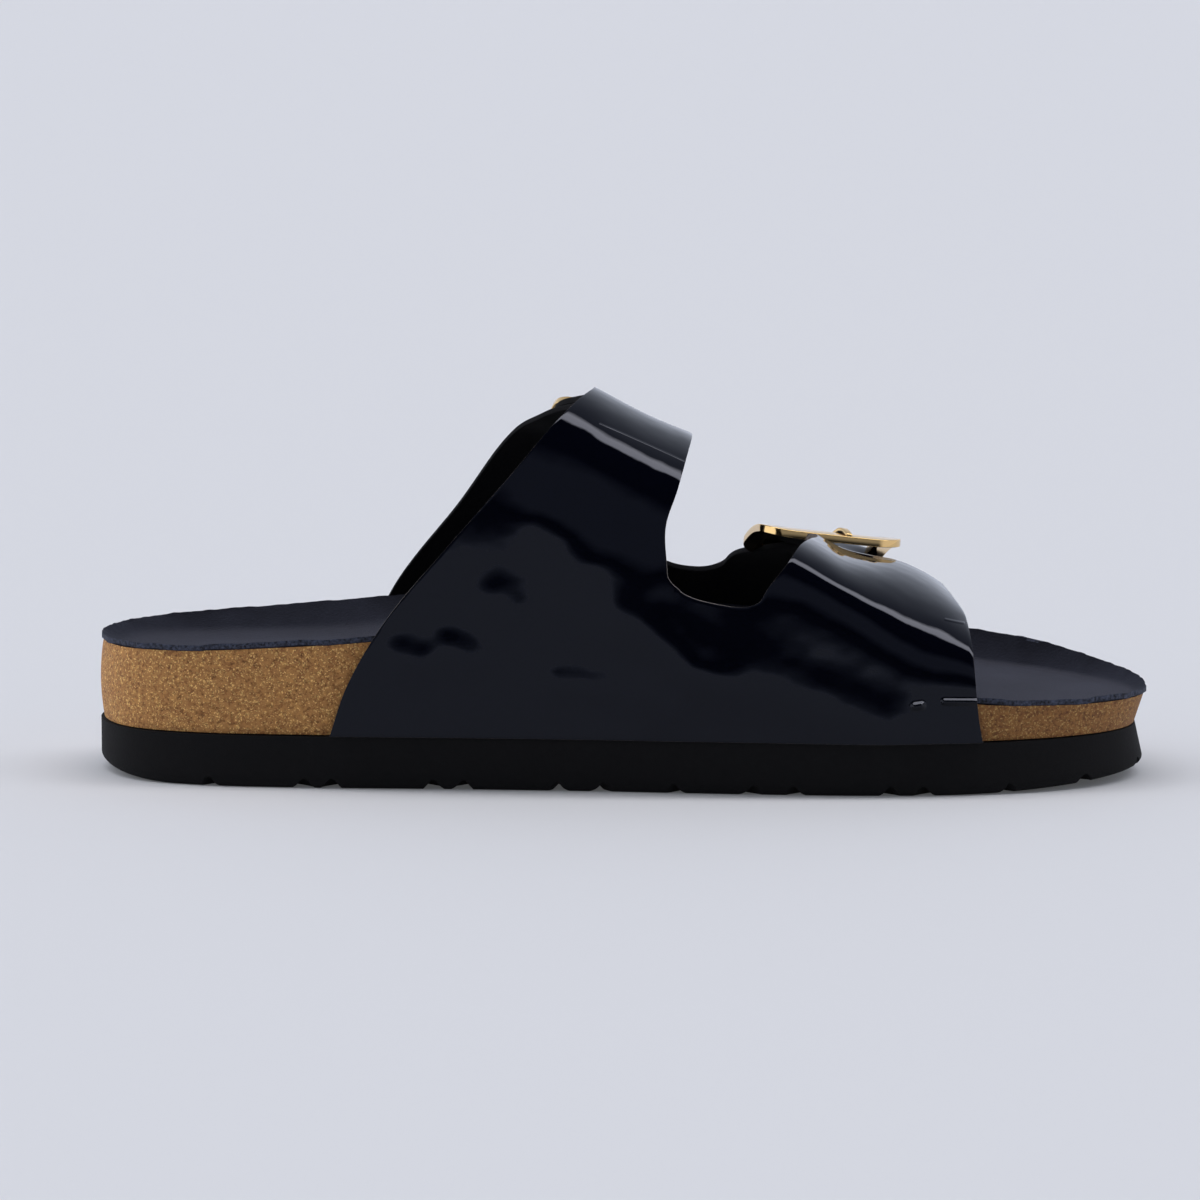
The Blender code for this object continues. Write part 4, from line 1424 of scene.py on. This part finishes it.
    def medial_points(self, column: Array, row: Array, depth: Array) -> Array:
        """Points of the medial sheet.

        Args:
            column: Number of the mesh column, counted from the rear edge.
            row: Number of the mesh row, counted from the foot.
            depth: Distance below the outer face.

        Returns:
            Points in mm.
        """
        corner = self.slot_corner(Side.MEDIAL)
        ridge_row = self.foot_rows + self.shoulder_rows
        low = part_way(row, 0, self.foot_rows)
        high = part_way(row, self.foot_rows, ridge_row)
        around = -FOOT_AROUND + (corner + FOOT_AROUND) * low + (1 - corner) * high
        along, around = self.wall_places(column, around, Side.MEDIAL)
        height = np.full_like(along, self.thick)
        beyond = part_way(row, ridge_row, ridge_row + self.end_rows)
        for seat, mine in self.straps(column):
            past_ridge = mine & (beyond > 0)
            arc = beyond[past_ridge] * (seat.arc + self.strap_end)
            past = arc - seat.arc
            tip = part_way(past, self.tip_from, self.strap_end)
            rounding = 1 - np.sqrt(1 - tip ** self.tip_power)
            half = self.strap_half_width * (1 - self.tip_narrows * rounding)
            across = self.across_strap(column[past_ridge], seat)
            blend = smooth(part_way(past, *self.narrows))
            along[past_ridge], around[past_ridge] = self.beyond_ridge(seat, arc, across, half, blend)
            height[past_ridge] = self.thick + self.lift(seat, past, across * half)
        here = self.last.leather(along, around, height)
        height = height + self.relief(here[:, 0], here[:, 2])
        return self.last.leather(along, around, height - depth)

    def relief(self, x: Array, z: Array) -> Array:
        """Height of the placed creases at places on the medial side."""
        total = np.zeros_like(x)
        for crease in self.creases:
            run_x = crease.end_x - crease.x
            run_z = crease.end_z - crease.z
            length = max(run_x ** 2 + run_z ** 2, 1e-6)
            share = np.clip(((x - crease.x) * run_x + (z - crease.z) * run_z) / length, 0, 1)
            away = np.hypot(x - crease.x - share * run_x, z - crease.z - share * run_z)
            total += crease.height * np.exp(-(away / crease.spread) ** 2)
        return total

    def lateral_points(self, column: Array, row: Array, depth: Array) -> Array:
        """Points of the lateral sheet.

        Args:
            column: Number of the mesh column, counted from the rear edge.
            row: Number of the mesh row, counted from the foot.
            depth: Distance below the outer face.

        Returns:
            Points in mm.
        """
        corner = self.slot_corner(Side.LATERAL)
        foot = 2 + FOOT_AROUND
        end = np.empty_like(column)
        for seat, mine in self.straps(column):
            end[mine] = self.last.around_at(seat.along, self.tab_arc)
        low = part_way(row, 0, self.foot_rows)
        high = part_way(row, self.foot_rows, self.foot_rows + self.end_rows)
        around = foot - (foot - corner) * low - (corner - end) * high
        along, around = self.wall_places(column, around, Side.LATERAL)
        sunk = np.empty_like(along)
        for seat, mine in self.straps(column):
            arc = (around[mine] - 1) * self.last.shoulder_at(along[mine])
            buried = 1 - smooth(part_way(arc - seat.arc, *self.tab_sinks))
            sunk[mine] = (self.thick + self.tab_drop) * buried
        return self.last.leather(along, around, self.thick - depth - sunk)

    def sheet(self, name: str, rows: int, place: Callable[[Array, Array, Array], Array]) -> bpy.types.Object:
        """One leather sheet with its slot opened, its thickness and its soft cut edge.

        Args:
            name: Name of the piece.
            rows: Rows of faces from the foot to the ends of the straps.
            place: Gives points in mm for the mesh column, the mesh row and the depth below the outer face.

        Returns:
            The mesh object.
        """
        columns = 2 * self.strap_columns + self.slot_columns
        sheet = new_grid(name, columns, rows)
        middle = face_centres(sheet)
        in_slot = np.abs(middle[:, 0] * columns - columns / 2) < self.slot_columns / 2
        pick(sheet, Pick.FACES, in_slot & (middle[:, 1] * rows > self.foot_rows))
        bpy.ops.mesh.delete(type="FACE")
        bpy.ops.object.mode_set(mode="OBJECT")
        give_finishes(sheet, *LEATHER)
        apply_modifier(sheet, "SOLIDIFY", thickness=self.thick * MM, offset=-1.0,
                       material_offset=LeatherFace.LINING.value, material_offset_rim=LeatherFace.CUT.value)
        unit = coordinates(sheet)
        column = np.rint(unit[:, 0] * columns)
        row = np.rint(unit[:, 1] * rows)
        place_vertices(sheet, place(column, row, -unit[:, 2] / MM) * MM)
        merge_and_face_out(sheet)
        round_edges(sheet, self.edge_round, segments=2, degrees=60, material=LeatherFace.CUT.value)
        smooth_by_angle(sheet, self.smooth_angle)
        # On the lateral half the cut edges look like the lining.
        for face in sheet.data.polygons:
            if face.material_index == LeatherFace.CUT.value and face.center.y > 0:
                face.material_index = LeatherFace.LINING.value
        return sheet

    def punch(self, sheet: bpy.types.Object) -> None:
        """Cut the adjustment holes through both straps' ends."""
        pins = []
        for seat in self.seats.values():
            for past in self.hole_pasts:
                low, high = (seat.strap_point(self.hole_across, past, height) for height in self.hole_reach)
                deselect()
                bpy.ops.mesh.primitive_cylinder_add(
                    vertices=self.hole_sides, radius=self.hole_radius * MM, depth=(high - low).length * MM,
                    location=(low + high) / 2 * MM, rotation=(high - low).to_track_quat("Z", "Y").to_euler(),
                )
                pins.append(bpy.context.object)
        for pin in pins:
            pin.select_set(True)
        bpy.ops.object.join()
        cutter = bpy.context.object
        give_finishes(cutter, *LEATHER)
        for face in cutter.data.polygons:
            face.material_index = LeatherFace.CUT.value
        cut_away(sheet, cutter)
        smooth_by_angle(sheet, self.smooth_angle)

    def build(self) -> None:
        """Model and dress both sheets."""
        rows = self.foot_rows + self.end_rows
        sheets = (
            self.sheet("medial_leather", rows + self.shoulder_rows, self.medial_points),
            self.sheet("lateral_leather", rows, self.lateral_points),
        )
        self.punch(sheets[0])
        for sheet in sheets:
            finish_piece(sheet, Slot.PATENT, "upper")


@dataclass
class Buckle:
    """A gilt buckle: an oversize flat ring on a hinge bar, and its prong."""

    seat: BuckleSeat
    wide: float = 35.2
    bar_wide: float = 4.5
    bar_thick: float = 1.9
    corner: float = 6.0
    hinge_corner: float = 3.5
    corner_segments: int = 10
    edge_round: float = 0.6
    edge_segments: int = 4
    bends: int = 14
    prong_wide: float = 3.0
    prong_tip_wide: float = 1.7
    prong_thick: float = 1.8
    prong_tip_thick: float = 1.0
    prong_level: float = 3.2
    prong_slant: float = 2.9
    prong_path: tuple[tuple[float, float], ...] = ((2.5, 0.0), (7.0, -0.3), (12.0, -0.7), (18.0, -0.4))
    prong_overhang: float = 2.2
    prong_lengths: int = 24
    prong_clear: float = 0.15
    prong_droop: float = 0.5
    prong_taper_from: float = 18.0
    prong_round: float = 0.55

    @property
    def length(self) -> float:
        """Distance from the hinge bar's middle to the medial bar's middle."""
        return self.seat.axes()[2].length

    def ring(self) -> bpy.types.Object:
        """The ring: a plate with rounded corners, opened in the middle, thickened and polished round."""
        half = self.bar_wide / 2
        deselect()
        bpy.ops.mesh.primitive_plane_add(size=1.0)
        ring = bpy.context.object
        ring.name = f"{self.seat.name}_ring"
        size = np.array((self.wide, self.length + self.bar_wide, 1.0))
        place_vertices(ring, coordinates(ring) * size * MM + np.array((0, self.length / 2, 0)) * MM)
        for inner, radius in ((True, self.corner), (False, self.hinge_corner)):
            inward = coordinates(ring)[:, 1]
            pick(ring, Pick.VERTICES, inward > self.length / 2 * MM if inner else inward < 0)
            bpy.ops.mesh.bevel(offset=(radius + half) * MM, segments=self.corner_segments, affect="VERTICES")
            bpy.ops.object.mode_set(mode="OBJECT")
        pick(ring, Pick.FACES, np.ones(len(ring.data.polygons), bool))
        bpy.ops.mesh.inset(thickness=self.bar_wide * MM)
        bpy.ops.mesh.delete(type="FACE")
        slice_across(self.bends, 0.0, self.length * MM)
        bpy.ops.object.mode_set(mode="OBJECT")
        apply_modifier(ring, "SOLIDIFY", thickness=self.bar_thick * MM, offset=0.0)
        round_edges(ring, self.edge_round, self.edge_segments, degrees=60)
        place_vertices(ring, self.seat.place(coordinates(ring) / MM) * MM)
        merge_and_face_out(ring)
        smooth_by_angle(ring, 40)
        return ring

    def prong(self) -> bpy.types.Object:
        """The prong: a bar drawn out to its tip, bent up from the hinge bar and over the medial bar."""
        end = self.length + self.prong_overhang
        start = self.prong_path[0][0]
        deselect()
        bpy.ops.mesh.primitive_cube_add(size=1.0)
        prong = bpy.context.object
        prong.name = f"{self.seat.name}_pin"
        bpy.ops.object.mode_set(mode="EDIT")
        slice_across(self.prong_lengths, -0.5, 0.5)
        bpy.ops.object.mode_set(mode="OBJECT")
        unit = coordinates(prong)
        inward = start + (unit[:, 1] + 0.5) * (end - start)
        rest = self.bar_thick / 2 + self.prong_clear + self.prong_tip_thick / 2
        over_bar = (
            (self.length - self.prong_level, rest), (self.length, rest), (end, rest - self.prong_droop),
        )
        rise = through(self.prong_path + over_bar)
        narrow = smooth(part_way(inward, self.prong_taper_from, self.length))
        wide = self.prong_wide + (self.prong_tip_wide - self.prong_wide) * narrow
        thick = self.prong_thick + (self.prong_tip_thick - self.prong_thick) * narrow
        shift = self.prong_slant * inward / self.length
        local = np.stack((unit[:, 0] * wide + shift, inward, rise(inward) + unit[:, 2] * thick), -1)
        place_vertices(prong, self.seat.place(local) * MM)
        merge_and_face_out(prong)
        round_edges(prong, self.prong_round, self.edge_segments, degrees=50)
        smooth_by_angle(prong, 50)
        return prong

    def build(self) -> None:
        """Model and dress the ring and its prong."""
        for piece, node in ((self.ring(), "frame"), (self.prong(), "prong")):
            give_finishes(piece, GILT)
            finish_piece(piece, Slot.GILT, f"{self.seat.name}_{node}")


@dataclass
class Studio:
    """Camera, pale floor and soft light."""

    target: tuple[float, float, float] = (-5.1, -0.95, 40.0)
    distance: float = 1400.0
    elevation: float = 8.0
    frame_width: float = 290.8
    sensor: float = 36.0
    floor_size: float = 40.0
    sight: float = 200.0
    strength: float = 8.5
    arch: tuple[tuple[float, str], ...] = (
        (0.0, "#4c4e54"), (0.016, "#303237"), (0.042, "#0c0d11"), (0.09, "#040507"), (0.15, "#34363c"),
        (0.24, "#34363c"), (0.31, "#020305"), (0.484, "#020305"), (0.499, "#e6e4e8"), (0.545, "#e6e4e8"),
        (0.575, "#3a3c42"), (0.8, "#484b51"), (1.0, "#585b62"),
    )
    sides: tuple[tuple[float, str], ...] = ((0.3, "#6e6f74"), (0.7, "#56575c"))
    side_reach: tuple[float, float] = (0.66, 0.86)

    def camera(self) -> None:
        """Long lens at the medial side, a little above the sole."""
        made = bpy.data.objects.new("camera", bpy.data.cameras.new("camera"))
        bpy.context.scene.collection.objects.link(made)
        tilt = math.radians(self.elevation)
        back = Vector((0.0, -math.cos(tilt), math.sin(tilt)))
        made.location = (Vector(self.target) + back * self.distance) * MM
        made.rotation_euler = (math.radians(90 - self.elevation), 0.0, 0.0)
        made.data.sensor_width = self.sensor
        made.data.lens = self.sensor * self.distance / self.frame_width
        made.data.clip_end = self.sight
        bpy.context.scene.camera = made

    def floor(self) -> None:
        """Wide sheet of pale paper."""
        deselect()
        bpy.ops.mesh.primitive_plane_add(size=self.floor_size)
        paper = bpy.context.object
        paper.name = "studio_floor"
        give_finishes(paper, PAPER)

    def light(self) -> None:
        """Bright strip overhead, softer light behind it, a dim one in front; the heel's side is brighter."""
        world = bpy.data.worlds.new("studio")
        bpy.context.scene.world = world
        world.use_nodes = True
        tree = world.node_tree
        direction = add_node(tree, Node.PLACE).outputs["Generated"]
        x, y, z = add_node(tree, Node.SPLIT, {0: direction}).outputs
        ahead = add_node(tree, Node.MATH, {0: y, 1: -1.0}, operation="MULTIPLY").outputs[0]
        angle = add_node(tree, Node.MATH, {0: z, 1: ahead}, operation="ARCTAN2").outputs[0]
        # From 0 at the horizon on the camera's side, over the top, to 1 at the horizon behind the sandal.
        share = add_node(tree, Node.MATH, {0: angle, 1: math.pi}, operation="DIVIDE").outputs[0]
        over = add_node(tree, Node.RAMP, {"Fac": share}, stops=self.arch).outputs["Color"]
        sideways = add_node(tree, Node.MATH, {0: x}, operation="ABSOLUTE").outputs[0]
        near, far = self.side_reach
        beside = add_node(tree, Node.RANGE, {"Value": sideways, "From Min": near, "From Max": far}).outputs[0]
        toward_toe = add_node(tree, Node.RANGE, {"Value": x, "From Min": -1.0, "From Max": 1.0}).outputs[0]
        ends = add_node(tree, Node.RAMP, {"Fac": toward_toe}, stops=self.sides).outputs["Color"]
        colour = add_node(tree, Node.MIX, {0: beside, 6: over, 7: ends}, data_type="RGBA").outputs[2]
        background = tree.nodes["Background"]
        tree.links.new(colour, background.inputs["Color"])
        set_inputs(background, {"Strength": self.strength})
        bpy.context.scene.view_settings.view_transform = "Standard"

    def build(self) -> None:
        """Set the studio up."""
        self.camera()
        self.floor()
        self.light()


def main() -> None:
    """Build every piece in order."""
    logging.basicConfig(level=logging.INFO, format="%(name)s: %(message)s")
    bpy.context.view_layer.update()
    Studio().build()
    last = Last()
    Outsole(last).build()
    CorkBlock(last).build()
    FootbedLiner(last).build()
    seats = {
        "front": BuckleSeat("buckle_front", 171.2, 31.5, 10.0, 26.0, -4.5, 4.5, last),
        "rear": BuckleSeat("buckle_rear", 119.2, 47.0, 12.0, 26.0, -24.0, 3.9, last),
    }
    Upper(last, seats).build()
    for seat in seats.values():
        Buckle(seat).build()


if __name__ == "__main__":
    main()
